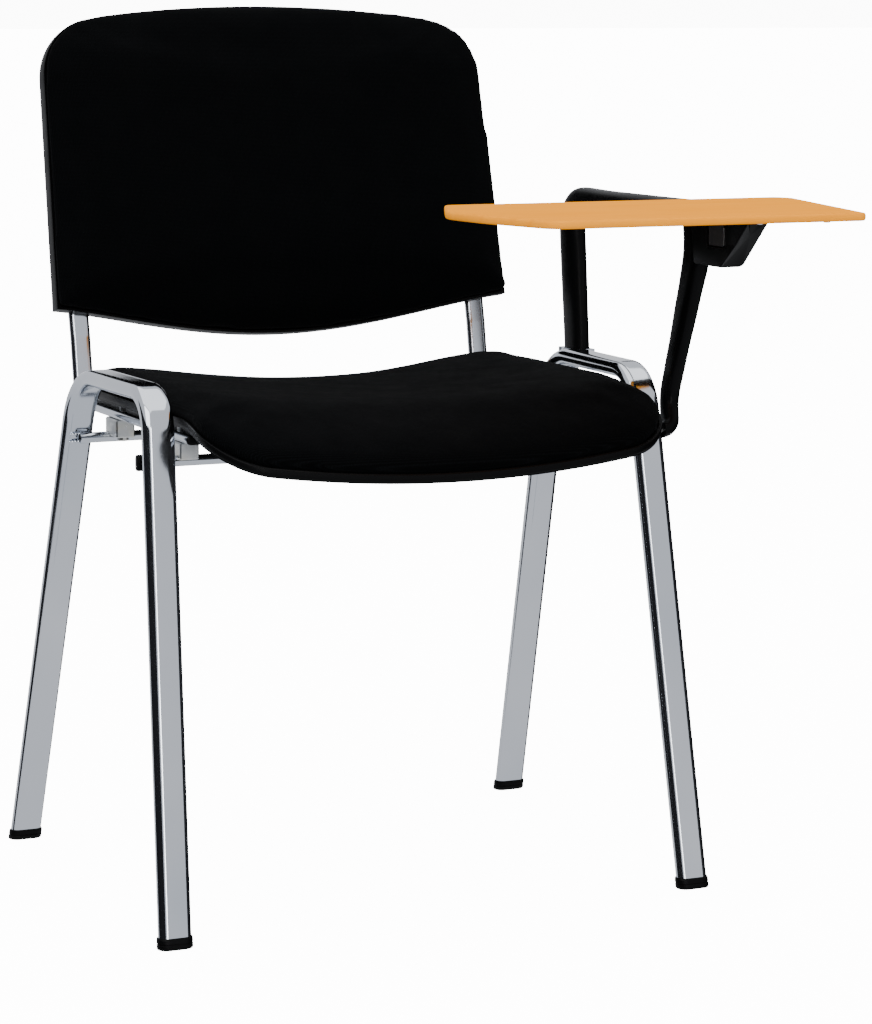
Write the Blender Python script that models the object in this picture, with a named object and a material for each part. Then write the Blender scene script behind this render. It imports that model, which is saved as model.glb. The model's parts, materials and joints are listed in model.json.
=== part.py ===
"""Stacking student desk chair: tubular four-leg frame, padded seat and back,
one armrest on the sitter's left and a small writing tablet that flips up and out.

Units are metres, +Z is up and the chair faces -Y. Everything is laid out about
the seat's centre line (x = 0); the last step moves the whole chair so that its
origin is the middle of its footprint, at floor level.
"""
import math

import bmesh
import bpy
from mathutils import Matrix, Vector

# ---------------------------------------------------------------- dimensions
GAP = 0.0003                  # clearance between pieces that touch

# side frames: one oval tube each, bent into a front leg, an arch and a rear leg
TUBE_WIDE = 0.030             # across the chair
TUBE_THIN = 0.015             # in the side plane
TUBE_WALL = 0.0015
FRONT_X = 0.2380              # centre of the arch at its front corner
REAR_X = 0.2434
ARCH_TOP = 0.484
FRONT_FOOT = (0.2545, -0.182)
REAR_FOOT = (0.2634, 0.2478)
FRONT_LEAN = 0.1734           # y per z of the front leg
REAR_LEAN = -0.321
FRONT_BEND = 0.040
REAR_BEND = 0.065

# plastic shoes
SHOE_SOLE = 0.004
SHOE_HEIGHT = 0.0105
SHOE_WALL = 0.0011

# round cross tubes
CROSS_RADIUS = 0.005
CROSS_WALL = 0.0012
FRONT_CROSS_Z = 0.4165
REAR_CROSS_Z = 0.415
CAP_HEIGHT = 0.0146
CAP_END_X = 0.2568

# L-shaped back uprights
UPRIGHT_X = 0.2096
UPRIGHT_WIDE = 0.020
UPRIGHT_THIN = 0.0085
UPRIGHT_WALL = 0.0012
RUN_Z = 0.4377                # centre of the run under the seat
RUN_FRONT_Y = -0.124
UPRIGHT_FOOT_Y = 0.203        # where the upright meets the run
UPRIGHT_BEND = 0.026
KNEE_Z = 0.498                # where it leans back into the backrest

# saddles between the cross tubes and the uprights' runs
SADDLE_WIDE = 0.018
SADDLE_LIFT = 0.0012          # its underside above the cross tube's centre
BOLT_OFFSET = 0.017           # bolt centre from the cross tube's centre
BOLT_RADIUS = 0.003
INSERT_RADIUS = 0.005
INSERT_DEPTH = 0.002          # its top below the sloping face of the board

# seat
SEAT_HALF = 0.2215
SEAT_FRONT = -0.212
SEAT_REAR = 0.192
SEAT_EDGE_Z = 0.4475          # underside of the board over the uprights
SEAT_DISH = 0.0215
SEAT_FALL = 0.0265            # drop of the front edge
SEAT_LEVEL = 0.0080           # how much of the dish is gone at the front edge
SEAT_FLARE = 0.0040           # extra half width ahead of the front legs
FLARE_START = -0.122
FALL_START = -0.105
BOARD_THICK = 0.007
SEAT_SHELL = 0.0022
SEAT_FOAM_EDGE = 0.016
SEAT_FOAM_MID = 0.0245

# backrest, measured in its own leaning plane
BACK_LEAN = math.radians(13.6)
BACK_Y = 0.199                # board's front face at the bottom corners
BACK_Z = 0.528
BACK_HALF_BOTTOM = 0.2380
BACK_HALF_TOP = 0.2300
BACK_HEIGHT = 0.304           # from the bottom corners to the top
BACK_BELLY = 0.028            # how far the bottom edge hangs below its corners
BACK_CROWN = 0.025            # how far the top edge rises above its corners
BACK_SAG = 0.024              # how far the middle lies behind the edges
BACK_BOARD = 0.009
BACK_FOAM_EDGE = 0.010
BACK_FOAM_MID = 0.028
BACK_SHELL_DEPTH = 0.026      # from the board's front face to the shell's back
BACK_SHELL = 0.0025

# armrest
ARM_X = 0.271
ARM_TOP = 0.6385
ARM_FOOT_Y = 0.1035
ARM_FOOT_Z = 0.4795
BRACKET_BOLT_Y = 0.090
HOOK_Y = -0.1100              # where the arm's lower hook meets the front leg
HOOK_Z = 0.4215

# tablet and its hinge
HINGE_X = 0.271
HINGE_Z = 0.610
PIN_RADIUS = 0.0035
TABLET_TOP = 0.6400
TABLET_THICK = 0.007
TABLET_REAR = -0.150
TABLET_FRONT = -0.402
PLATE_THICK = 0.002
CARRIER_LOW = (0.216, -0.356)     # corners of the plate under the tablet
CARRIER_HIGH = (0.304, -0.178)
SCREW_INSET = 0.011
BLOCK_TOP = TABLET_TOP - TABLET_THICK - PLATE_THICK - 3 * GAP
BLOCK_BOTTOM = 0.581
BLOCK_HALF = 0.012
BLOCK_REAR = -0.1633
BLOCK_RAKE = 0.1636           # y per z of its rear face
BLOCK_TOE = -0.2137           # front end of the block's underside
BLOCK_NOSE = -0.2650          # front end of its top
SLOT_REAR = -0.1900
SLOT_FRONT = -0.2225
SLOT_FLOOR = 0.599
PIN_FRONT = -0.2335
PIN_LENGTH = 0.0505


# ------------------------------------------------------------------ materials
def make_material(name, colour, roughness, metallic=0.0):
    material = bpy.data.materials.new(name)
    material.use_nodes = True
    shader = material.node_tree.nodes["Principled BSDF"]
    shader.inputs["Base Color"].default_value = (*colour, 1.0)
    shader.inputs["Roughness"].default_value = roughness
    shader.inputs["Metallic"].default_value = metallic
    material.diffuse_color = (*colour, 1.0)
    return material


def make_materials():
    return {
        "chrome": make_material("chrome", (0.66, 0.69, 0.72), 0.18, 1.0),
        "zinc": make_material("zinc", (0.55, 0.56, 0.56), 0.35, 1.0),
        "plastic": make_material("black_plastic", (0.012, 0.012, 0.013), 0.40),
        "fabric": make_material("black_fabric", (0.012, 0.014, 0.016), 0.95),
        "plywood": make_material("plywood", (0.46, 0.29, 0.14), 0.60),
        "black_steel": make_material("black_steel", (0.02, 0.02, 0.02), 0.45),
        "tablet": make_material("tablet_laminate", (0.78, 0.39, 0.14), 0.45),
    }


MATERIALS = {}


# ------------------------------------------------------------- mesh building
def add_object(name, mesh_data, material, smooth_angle=35.0):
    """Finish a bmesh: outward faces, smooth shading, one material."""
    bmesh.ops.remove_doubles(mesh_data, verts=mesh_data.verts, dist=1e-6)
    bmesh.ops.recalc_face_normals(mesh_data, faces=mesh_data.faces)
    mesh = bpy.data.meshes.new(name)
    mesh_data.to_mesh(mesh)
    mesh_data.free()
    mesh.shade_smooth()
    mesh.set_sharp_from_angle(angle=math.radians(smooth_angle))
    mesh.materials.append(MATERIALS[material])
    thing = bpy.data.objects.new(name, mesh)
    bpy.context.scene.collection.objects.link(thing)
    return thing


def add_band(mesh_data, low, high):
    """Triangles between two rows, split the same way whatever their order."""
    count = len(low)
    for i in range(count):
        j = (i + 1) % count
        one, two = (low[i], high[j]), (low[j], high[i])
        difference = (one[0].co - one[1].co).length - (two[0].co - two[1].co).length
        if abs(difference) < 1e-6:
            difference = min(v.co.x for v in one) - min(v.co.x for v in two)
        if difference <= 0:
            mesh_data.faces.new((low[i], low[j], high[j]))
            mesh_data.faces.new((low[i], high[j], high[i]))
        else:
            mesh_data.faces.new((low[i], low[j], high[i]))
            mesh_data.faces.new((low[j], high[j], high[i]))


def add_fan(mesh_data, row):
    """Close a row with triangles to its middle."""
    count = len(row)
    hub = mesh_data.verts.new(sum((v.co for v in row), Vector()) / count)
    for i in range(count):
        mesh_data.faces.new((row[i], row[(i + 1) % count], hub))


def loft(name, loops, material, ring=False, smooth_angle=35.0):
    """Skin a list of equal loops; ring joins the last to the first."""
    mesh_data = bmesh.new()
    rows = [[mesh_data.verts.new(point) for point in loop] for loop in loops]
    pairs = list(zip(rows, rows[1:]))
    if ring:
        pairs.append((rows[-1], rows[0]))
    for low, high in pairs:
        add_band(mesh_data, low, high)
    if not ring:
        add_fan(mesh_data, rows[0])
        add_fan(mesh_data, rows[-1])
    return add_object(name, mesh_data, material, smooth_angle)


def boolean(target, tool, operation="DIFFERENCE"):
    """Apply one exact Boolean to target and remove the tool."""
    modifier = target.modifiers.new("boolean", "BOOLEAN")
    modifier.operation = operation
    modifier.solver = "EXACT"
    modifier.object = tool
    bpy.context.view_layer.update()
    graph = bpy.context.evaluated_depsgraph_get()
    result = bpy.data.meshes.new_from_object(target.evaluated_get(graph))
    result.name = target.name
    target.modifiers.clear()
    target.data = result
    result.shade_smooth()
    result.set_sharp_from_angle(angle=math.radians(35.0))
    bpy.data.objects.remove(tool)
    return target


def box(name, low, high, material="zinc"):
    mesh_data = bmesh.new()
    bmesh.ops.create_cube(mesh_data, size=1.0)
    low, high = Vector(low), Vector(high)
    for vert in mesh_data.verts:
        for axis in range(3):
            span = high[axis] - low[axis]
            vert.co[axis] = low[axis] + (vert.co[axis] + 0.5) * span
    return add_object(name, mesh_data, material)


def soft_box(name, low, high, bevel, material, segments=2):
    thing = box(name, low, high, material)
    mesh_data = bmesh.new()
    mesh_data.from_mesh(thing.data)
    bmesh.ops.bevel(mesh_data, geom=mesh_data.edges[:], offset=bevel,
                    segments=segments, profile=0.5, affect="EDGES")
    mesh_data.to_mesh(thing.data)
    mesh_data.free()
    thing.data.shade_smooth()
    return thing


def circle(radius, count, phase=0.0):
    """Points of a circle in its own plane, as (a, b) pairs."""
    step = 2 * math.pi / count
    return [(radius * math.cos(i * step + phase), radius * math.sin(i * step + phase))
            for i in range(count)]


def turned(name, start, direction, profile, material, count=16, smooth_angle=35.0):
    """Turn a profile of (distance along, radius) about an axis."""
    direction = Vector(direction).normalized()
    turn = direction.to_track_quat("Z", "Y").to_matrix()
    loops = []
    for along, radius in profile:
        loops.append([Vector(start) + turn @ Vector((a, b, along))
                      for a, b in circle(radius, count)])
    return loft(name, loops, material, smooth_angle=smooth_angle)


def drill(target, start, end, radius, count=8):
    """Cut a straight round hole between two points."""
    start, end = Vector(start), Vector(end)
    tool = turned("drill", start, end - start,
                  [(0.0, radius), ((end - start).length, radius)], "zinc", count)
    return boolean(target, tool)


def stadium(wide, thin, per_end=7):
    """Flat oval section, wide along a and thin along b."""
    radius = thin / 2
    shift = wide / 2 - radius
    points = []
    for side in (1, -1):
        for i in range(per_end):
            angle = -math.pi / 2 + math.pi * i / (per_end - 1)
            points.append((side * (shift + radius * math.cos(angle)),
                           side * radius * math.sin(angle)))
    return points


def oval(wide, thin, count=14, power=2.6):
    """Soft rectangle (superellipse) section."""
    points = []
    for i in range(count):
        angle = 2 * math.pi * i / count
        c, s = math.cos(angle), math.sin(angle)
        points.append((math.copysign(abs(c) ** (2 / power), c) * wide / 2,
                       math.copysign(abs(s) ** (2 / power), s) * thin / 2))
    return points


def rounded(corners, radii, closed=False, step=math.radians(12)):
    """Polyline whose corners are replaced with arcs of the given radii."""
    corners = [Vector(corner) for corner in corners]
    total = len(corners)
    path = []
    for i, corner in enumerate(corners):
        if not closed and i in (0, total - 1):
            path.append(corner)
            continue
        radius = radii[i]
        back = (corners[i - 1] - corner).normalized()
        ahead = (corners[(i + 1) % total] - corner).normalized()
        bend = math.pi - back.angle(ahead)
        if radius <= 0 or bend < 1e-4:
            path.append(corner)
            continue
        reach = radius * math.tan(bend / 2)
        inward = (back + ahead).normalized()
        centre = corner + inward * (radius / math.cos(bend / 2))
        first = corner + back * reach - centre
        last = corner + ahead * reach - centre
        count = max(2, math.ceil(bend / step))
        for k in range(count + 1):
            t = k / count
            share_a = math.sin((1 - t) * bend) / math.sin(bend)
            share_b = math.sin(t * bend) / math.sin(bend)
            path.append(centre + first * share_a + last * share_b)
    return path


def tangents(path):
    result = []
    for i, point in enumerate(path):
        before = path[max(i - 1, 0)]
        after = path[min(i + 1, len(path) - 1)]
        one = (point - before).normalized() if i > 0 else (after - point).normalized()
        two = (after - point).normalized() if i < len(path) - 1 else one
        result.append((one + two).normalized())
    return result


def sweep_loops(path, section_at, wide_axis=Vector((1, 0, 0))):
    """Loops of a section carried along a path, its a side along wide_axis."""
    loops = []
    lengths = [0.0]
    for one, two in zip(path, path[1:]):
        lengths.append(lengths[-1] + (two - one).length)
    for point, along, reached in zip(path, tangents(path), lengths):
        wide = (wide_axis - along * wide_axis.dot(along)).normalized()
        thin = along.cross(wide)
        section = section_at(reached / lengths[-1])
        loops.append([point + wide * a + thin * b for a, b in section])
    return loops


def flatten_end(loop, along, level):
    """Slide an end loop's points along the tube onto a level plane."""
    return [point + along * ((level - point.z) / along.z) for point in loop]


def hollow(name, path, wide, thin, wall, material, levels=(None, None)):
    """Oval tube with open ends; levels cut the ends off horizontally."""
    outer = sweep_loops(path, lambda t: stadium(wide, thin))
    inner = sweep_loops(path, lambda t: stadium(wide - 2 * wall, thin - 2 * wall))
    along = tangents(path)
    for end, level in zip((0, -1), levels):
        if level is not None:
            outer[end] = flatten_end(outer[end], along[end], level)
            inner[end] = flatten_end(inner[end], along[end], level)
    return loft(name, outer + inner[::-1], material, ring=True)


# ------------------------------------------------------------------ side frames
def leg_points(side):
    """Corner points of one side frame's centre line, front foot first."""
    crest = ARCH_TOP - TUBE_THIN / 2
    front = (FRONT_FOOT[0], FRONT_FOOT[1], 0.0)
    rear = (REAR_FOOT[0], REAR_FOOT[1], 0.0)
    front_top = (FRONT_X, FRONT_FOOT[1] + FRONT_LEAN * crest, crest)
    rear_top = (REAR_X, REAR_FOOT[1] + REAR_LEAN * crest, crest)
    return [Vector((side * x, y, z)) for x, y, z in (front, front_top, rear_top, rear)]


def point_at_level(low, high, level):
    return low + (high - low) * ((level - low.z) / (high.z - low.z))


def make_side_frame(name, side):
    front, front_top, rear_top, rear = leg_points(side)
    start = point_at_level(front, front_top, SHOE_SOLE + GAP)
    end = point_at_level(rear, rear_top, SHOE_SOLE + GAP)
    path = rounded([start, front_top, rear_top, end], [0, FRONT_BEND, REAR_BEND, 0])
    levels = (SHOE_SOLE + GAP, SHOE_SOLE + GAP)
    return hollow(name, path, TUBE_WIDE, TUBE_THIN, TUBE_WALL, "chrome", levels)


def make_shoe(name, foot, top):
    """Plastic cup over the end of one leg, sole flat on the floor."""
    along = (top - foot).normalized()

    def ring(level, grow):
        section = stadium(TUBE_WIDE + 2 * grow, TUBE_THIN + 2 * grow)
        wide = (Vector((1, 0, 0)) - along * along.x).normalized()
        thin = along.cross(wide)
        loop = [foot + wide * a + thin * b for a, b in section]
        return flatten_end(loop, along, level)

    wall = SHOE_WALL + GAP
    loops = [ring(0.0, wall - 0.0012), ring(0.0012, wall), ring(SHOE_HEIGHT - 0.001, wall),
             ring(SHOE_HEIGHT, wall - 0.0006), ring(SHOE_HEIGHT, GAP), ring(SHOE_SOLE, GAP)]
    return loft(name, loops, "plastic")


def make_frame_group():
    for label, side in (("left", 1), ("right", -1)):
        make_side_frame("side_frame_" + label, side)
        front, front_top, rear_top, rear = leg_points(side)
        make_shoe("foot_front_" + label, front, front_top)
        make_shoe("foot_rear_" + label, rear, rear_top)


# ------------------------------------------------------------------ cross tubes
def leg_y(foot, lean, level):
    return foot[1] + lean * level


def leg_x(foot, level):
    """Centre of a splayed leg, across the chair, at one height."""
    crest = ARCH_TOP - TUBE_THIN / 2
    top = FRONT_X if foot == FRONT_FOOT else REAR_X
    return foot[0] + (top - foot[0]) * level / crest


def front_cross_y():
    """Centre of the front tube, welded to the backs of the front legs."""
    half = TUBE_THIN / 2 * math.hypot(1.0, FRONT_LEAN)
    return leg_y(FRONT_FOOT, FRONT_LEAN, FRONT_CROSS_Z) + half + CROSS_RADIUS + 2 * GAP


def rear_cross_y():
    """Centre of the rear tube, welded to the fronts of the rear legs."""
    half = TUBE_THIN / 2 * math.hypot(1.0, REAR_LEAN)
    return leg_y(REAR_FOOT, REAR_LEAN, REAR_CROSS_Z) - half - CROSS_RADIUS - 2 * GAP


def make_cross_tube(name, half_length, y, z):
    inner = CROSS_RADIUS - CROSS_WALL
    loops = []
    for x, radius in ((-half_length, CROSS_RADIUS), (half_length, CROSS_RADIUS),
                      (half_length, inner), (-half_length, inner)):
        loops.append([Vector((x, y + a, z + b)) for a, b in circle(radius, 14)])
    return loft(name, loops, "chrome", ring=True)


def make_tube_cap(name, side, y, z):
    """Moulded cap on the front tube's end, with a spigot inside the tube."""
    head = CAP_END_X - 0.0106
    spigot = CROSS_RADIUS - CROSS_WALL - GAP
    edge = 0.0014
    wide, tall = 1.7 * CROSS_RADIUS, CAP_HEIGHT
    stations = [(head - 0.010, 2 * spigot, 2 * spigot, 2.0), (head, 2 * spigot, 2 * spigot, 2.0),
                (head, wide, tall, 3.4), (CAP_END_X - edge, wide, tall, 3.4),
                (CAP_END_X, wide - 2 * edge, tall - 2 * edge, 3.4)]
    loops = []
    for x, a_size, b_size, power in stations:
        loops.append([Vector((side * x, y + a, z + b))
                      for a, b in oval(a_size, b_size, 16, power)])
    return loft(name, loops, "plastic")


def make_cross_group():
    front_y, rear_y = front_cross_y(), rear_cross_y()
    head = CAP_END_X - 0.0106
    make_cross_tube("cross_tube_front", head - GAP, front_y, FRONT_CROSS_Z)
    make_cross_tube("cross_tube_rear", REAR_X + 0.003, rear_y, REAR_CROSS_Z)
    for label, side in (("left", 1), ("right", -1)):
        make_tube_cap("tube_cap_" + label, side, front_y, FRONT_CROSS_Z)


# ------------------------------------------------------------- backrest surface
def back_point(x, t, n):
    """World point of backrest coordinates: across, up the panel, and behind it."""
    up = Vector((0, math.sin(BACK_LEAN), math.cos(BACK_LEAN)))
    behind = Vector((0, math.cos(BACK_LEAN), -math.sin(BACK_LEAN)))
    return Vector((x, BACK_Y, BACK_Z)) + up * t + behind * n


def back_sag(x):
    return BACK_SAG * (1 - (x / BACK_HALF_BOTTOM) ** 2)


def back_outline(inset=0.0, drop=0.0):
    """Closed outline in (x, t): bellied bottom, sharp corners, round shoulders."""
    low = BACK_HALF_BOTTOM - inset
    high = BACK_HALF_TOP - inset
    top = BACK_HEIGHT - inset
    base = inset - drop
    points = []
    steps = 10
    for i in range(steps + 1):
        x = -low + 2 * low * i / steps
        points.append((x, base - BACK_BELLY * math.cos(math.pi * x / (2 * low)) ** 1.3))
    shoulder = 0.062
    edge_drop = BACK_CROWN
    right = rounded([(low, base, 0), (high, top - edge_drop, 0), (0, top + edge_drop * 0.6, 0)],
                    [0, shoulder, 0], step=math.radians(15))
    curve = [(p.x, p.y) for p in right[1:-1]]
    side_steps = 3
    first = curve[0]
    for i in range(1, side_steps):
        share = i / side_steps
        points.append((low + (first[0] - low) * share, base + (first[1] - base) * share))
    crown = [top - edge_drop * (x / high) ** 2 for x, _ in curve]
    curve = [(x, min(y, c)) for (x, y), c in zip(curve, crown)]
    points += curve
    top_steps = 6
    reach = curve[-1][0]
    for i in range(1, top_steps):
        x = reach - 2 * reach * i / top_steps
        points.append((x, top - edge_drop * (x / high) ** 2))
    points += [(-x, y) for x, y in reversed(curve)]
    for i in range(side_steps - 1, 0, -1):
        share = i / side_steps
        points.append((-(low + (first[0] - low) * share), base + (first[1] - base) * share))
    return points


def shrink(points, scale, centre):
    return [(centre[0] + (x - centre[0]) * scale, centre[1] + (y - centre[1]) * scale)
            for x, y in points]


BACK_MIDDLE = (0.0, 0.135)
BACK_RINGS = (0.35, 0.75, 1.0)


def back_loop(points, depth):
    return [back_point(x, t, back_sag(x) + depth) for x, t in points]


def back_face(depth):
    """Rings of the board's face, shared by whatever lies against it."""
    outline = back_outline(inset=0.0082)
    return [back_loop(shrink(outline, scale, BACK_MIDDLE), depth) for scale in BACK_RINGS]


def make_back_board():
    return loft("back_board", back_face(0.0) + back_face(BACK_BOARD)[::-1], "plywood")


def make_back_cushion():
    outline = back_outline()
    edge, crown = BACK_FOAM_EDGE, BACK_FOAM_MID
    loops = back_face(-GAP)
    loops.append(back_loop(shrink(outline, 0.985, BACK_MIDDLE), -GAP))
    for scale, depth in ((1.0, 0.35 * edge), (1.0, 0.75 * edge), (0.975, edge * 1.15),
                         (0.90, 0.70 * crown), (0.72, 0.93 * crown), (0.40, crown)):
        loops.append(back_loop(shrink(outline, scale, BACK_MIDDLE), -GAP - depth))
    return loft("back_cushion", loops, "fabric", smooth_angle=60)


def make_back_cover(uprights):
    """Rear shell: a tray round the board, notched for the two uprights."""
    rim = back_outline(inset=0.0015, drop=0.002)
    deep = BACK_SHELL_DEPTH
    wall = BACK_SHELL
    loops = []
    outside = [(1.0, GAP), (1.0, BACK_BOARD + 0.004), (0.994, 0.80 * deep),
               (0.980, 0.95 * deep), (0.955, deep), (0.6, deep), (0.3, deep)]
    for scale, depth in outside:
        loops.append(back_loop(shrink(rim, scale, BACK_MIDDLE), depth))
    inside = [(0.3, deep - wall), (0.6, deep - wall), (0.945, deep - wall),
              (0.967, 0.93 * deep - wall), (0.978, BACK_BOARD + 0.003), (0.978, GAP)]
    for scale, depth in inside:
        loops.append(back_loop(shrink(rim, scale, BACK_MIDDLE), depth))
    cover = loft_tray("back_cover", loops, len(outside), "plastic")
    for tool in uprights:
        boolean(cover, tool)
    return cover


def loft_tray(name, loops, split, material):
    """Open tray: two skins, each closed at its middle, joined at the rim."""
    mesh_data = bmesh.new()
    rows = [[mesh_data.verts.new(point) for point in loop] for loop in loops]
    pairs = list(zip(rows, rows[1:]))
    del pairs[split - 1]
    pairs.append((rows[-1], rows[0]))
    for low, high in pairs:
        add_band(mesh_data, low, high)
    add_fan(mesh_data, rows[split - 1])
    add_fan(mesh_data, rows[split])
    return add_object(name, mesh_data, material)


# ---------------------------------------------------------------- back uprights
def upright_depth():
    """Front face of the upright behind the curved board's back."""
    return back_sag(UPRIGHT_X - 0.46 * UPRIGHT_WIDE) + BACK_BOARD + 3 * GAP


def upright_path(side, stretch=0.0):
    """Run under the seat, bend up, knee, and lean inside the backrest."""
    x = side * UPRIGHT_X
    depth = upright_depth() + UPRIGHT_THIN / 2
    top = back_point(x, 0.165 + stretch, depth)
    low = back_point(x, 0.0, depth)
    up = (top - low).normalized()
    knee = low + up * ((KNEE_Z - low.z) / up.z)
    corner = Vector((x, UPRIGHT_FOOT_Y, RUN_Z))
    front = Vector((x, RUN_FRONT_Y, RUN_Z))
    return front, corner, knee, top


def make_upright(name, side):
    front, corner, knee, top = upright_path(side)
    path = rounded([front, corner, knee, top], [0, UPRIGHT_BEND, 0.05, 0],
                   step=math.radians(15))
    return hollow(name, path, UPRIGHT_WIDE, UPRIGHT_THIN, UPRIGHT_WALL, "chrome")


def make_upright_tool(side, clearance=0.0012):
    """Solid, slightly larger copy of the upper upright, for the cover's notch."""
    _, _, knee, top = upright_path(side, stretch=0.004)
    path = [knee - (top - knee) * 0.1, top]
    size = 2 * clearance
    section = stadium(UPRIGHT_WIDE + size, UPRIGHT_THIN + size)
    return loft("notch", sweep_loops(path, lambda t: section), "zinc")


def make_upright_plug(name, side):
    """Plastic plug in the front end of the run."""
    x = side * UPRIGHT_X
    inner_w = UPRIGHT_WIDE - 2 * UPRIGHT_WALL - 2 * GAP
    inner_t = UPRIGHT_THIN - 2 * UPRIGHT_WALL - 2 * GAP
    face = RUN_FRONT_Y - GAP
    stations = [(RUN_FRONT_Y + 0.009, inner_w, inner_t), (face, inner_w, inner_t),
                (face, UPRIGHT_WIDE, UPRIGHT_THIN), (face - 0.0012, UPRIGHT_WIDE, UPRIGHT_THIN),
                (face - 0.0022, UPRIGHT_WIDE - 0.002, UPRIGHT_THIN - 0.002)]
    loops = []
    for y, wide, thin in stations:
        loops.append([Vector((x + a, y, RUN_Z + b)) for a, b in stadium(wide, thin)])
    return loft(name, loops, "plastic")


# ------------------------------------------------------------------------- seat
def seat_under(x, y):
    """Height of the seat board's underside."""
    across = min(abs(x) / UPRIGHT_X, 1.06)
    dish, fall = SEAT_DISH, 0.0
    if y < FALL_START:
        share = (FALL_START - y) / (FALL_START - SEAT_FRONT)
        dish -= SEAT_LEVEL * min(share, 1.0) ** 2
        fall = SEAT_FALL * share ** 2
    return SEAT_EDGE_Z - dish * (1 - across ** 2) - fall


def seat_outline(inset=0.0):
    half = SEAT_HALF - inset
    front, rear = SEAT_FRONT + inset, SEAT_REAR - inset
    wide = half + SEAT_FLARE
    corners = [(-half, rear, 0), (-half, FLARE_START, 0), (-wide, front, 0),
               (wide, front, 0), (half, FLARE_START, 0), (half, rear, 0)]
    radii = [0.040 - inset / 2, 0, 0.050 - inset / 2, 0.050 - inset / 2, 0, 0.040 - inset / 2]
    path = rounded(corners, radii, closed=True, step=math.radians(15))
    points = []
    for i, point in enumerate(path):
        following = path[(i + 1) % len(path)]
        span = (following - point).length
        pieces = max(1, math.ceil(span / 0.070))
        for k in range(pieces):
            here = point.lerp(following, k / pieces)
            bow = 0.010 * (1 - (here.x / half) ** 2)
            y = here.y - bow if here.y < 0 and abs(here.x) < half else here.y
            points.append((here.x, y))
    return points


SEAT_MIDDLE = (0.0, -0.01)
SEAT_RINGS = (0.3, 0.6, 0.8, 1.0)


def seat_loop(points, lift):
    return [Vector((x, y, seat_under(x, y) + lift)) for x, y in points]


def seat_face(lift):
    """Rings of the board's face, shared by whatever lies against it."""
    outline = seat_outline(inset=0.0035)
    return [seat_loop(shrink(outline, scale, SEAT_MIDDLE), lift) for scale in SEAT_RINGS]


def make_seat_board():
    return loft("seat_board", seat_face(0.0) + seat_face(BOARD_THICK)[::-1], "plywood")


def make_seat_cushion():
    outline = seat_outline()
    base = BOARD_THICK + GAP
    edge, crown = SEAT_FOAM_EDGE, SEAT_FOAM_MID
    loops = seat_face(base)
    loops.append(seat_loop(shrink(outline, 0.992, SEAT_MIDDLE), base))
    for scale, lift in ((1.0, 0.2 * edge), (1.0, 0.55 * edge), (0.985, 0.9 * edge),
                        (0.955, 0.40 * edge + 0.42 * crown), (0.88, 0.88 * crown),
                        (0.7, 0.98 * crown), (0.35, crown)):
        loops.append(seat_loop(shrink(outline, scale, SEAT_MIDDLE), base + lift))
    return loft("seat_cushion", loops, "fabric", smooth_angle=60)


def make_seat_cover():
    """Moulded shell under the board, its rim standing round the board's edge."""
    outline = seat_outline(inset=0.0004)
    under = -GAP
    wall = SEAT_SHELL
    loops = []
    outside = [(1.0, BOARD_THICK - 2 * GAP), (1.0, 0.001), (0.985, under - wall),
               (0.8, under - wall), (0.6, under - wall), (0.3, under - wall)]
    for scale, lift in outside:
        loops.append(seat_loop(shrink(outline, scale, SEAT_MIDDLE), lift))
    loops += seat_face(under)
    lip = seat_outline(inset=0.0031)
    loops.append(seat_loop(lip, under))
    loops.append(seat_loop(lip, BOARD_THICK - 2 * GAP))
    return loft_tray("seat_cover", loops, len(outside), "plastic")


# --------------------------------------------------------- saddles and fasteners
def saddle_places():
    """Name, side, cross tube centre and bolt position of each seat fixing."""
    front_y, rear_y = front_cross_y(), rear_cross_y()
    for label, side in (("left", 1), ("right", -1)):
        yield "front_" + label, side, front_y, FRONT_CROSS_Z, front_y + BOLT_OFFSET
        yield "rear_" + label, side, rear_y, REAR_CROSS_Z, rear_y - BOLT_OFFSET


def make_saddle(name, side, tube_y, tube_z, bolt_y):
    """Pressed block that sits on the cross tube and carries the run."""
    x = side * UPRIGHT_X
    top = RUN_Z - UPRIGHT_THIN / 2 - GAP
    low_y = min(tube_y, bolt_y) - 0.0085
    high_y = max(tube_y, bolt_y) + 0.0085
    saddle = soft_box(name, (x - SADDLE_WIDE / 2, low_y, tube_z + SADDLE_LIFT),
                      (x + SADDLE_WIDE / 2, high_y, top), 0.0012, "zinc", 1)
    groove = turned("groove", (x - 0.02, tube_y, tube_z), (1, 0, 0),
                    [(0, CROSS_RADIUS + GAP), (0.04, CROSS_RADIUS + GAP)], "zinc", 20)
    return boolean(saddle, groove)


def make_seat_fixings(board, uprights, cover):
    for label, side, tube_y, tube_z, bolt_y in saddle_places():
        x = side * UPRIGHT_X
        saddle = make_saddle("saddle_" + label, side, tube_y, tube_z, bolt_y)
        low, high = tube_z - 0.005, SEAT_EDGE_Z + 0.02
        drill(saddle, (x, bolt_y, low), (x, bolt_y, high), BOLT_RADIUS + GAP)
        drill(uprights[side], (x, bolt_y, low), (x, bolt_y, high), BOLT_RADIUS + GAP)
        drill(board, (x, bolt_y, low), (x, bolt_y, high), INSERT_RADIUS + 2 * GAP, 12)
        drill(cover, (x, bolt_y, low), (x, bolt_y, high), INSERT_RADIUS + 2 * GAP, 12)
        head_top = tube_z + SADDLE_LIFT - GAP
        floor = seat_under(x, bolt_y)
        make_bolt("seat_bolt_" + label, (x, bolt_y, head_top), (0, 0, 1),
                  floor + BOARD_THICK - INSERT_DEPTH - head_top)
        make_insert("seat_insert_" + label, x, bolt_y, floor)


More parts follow.
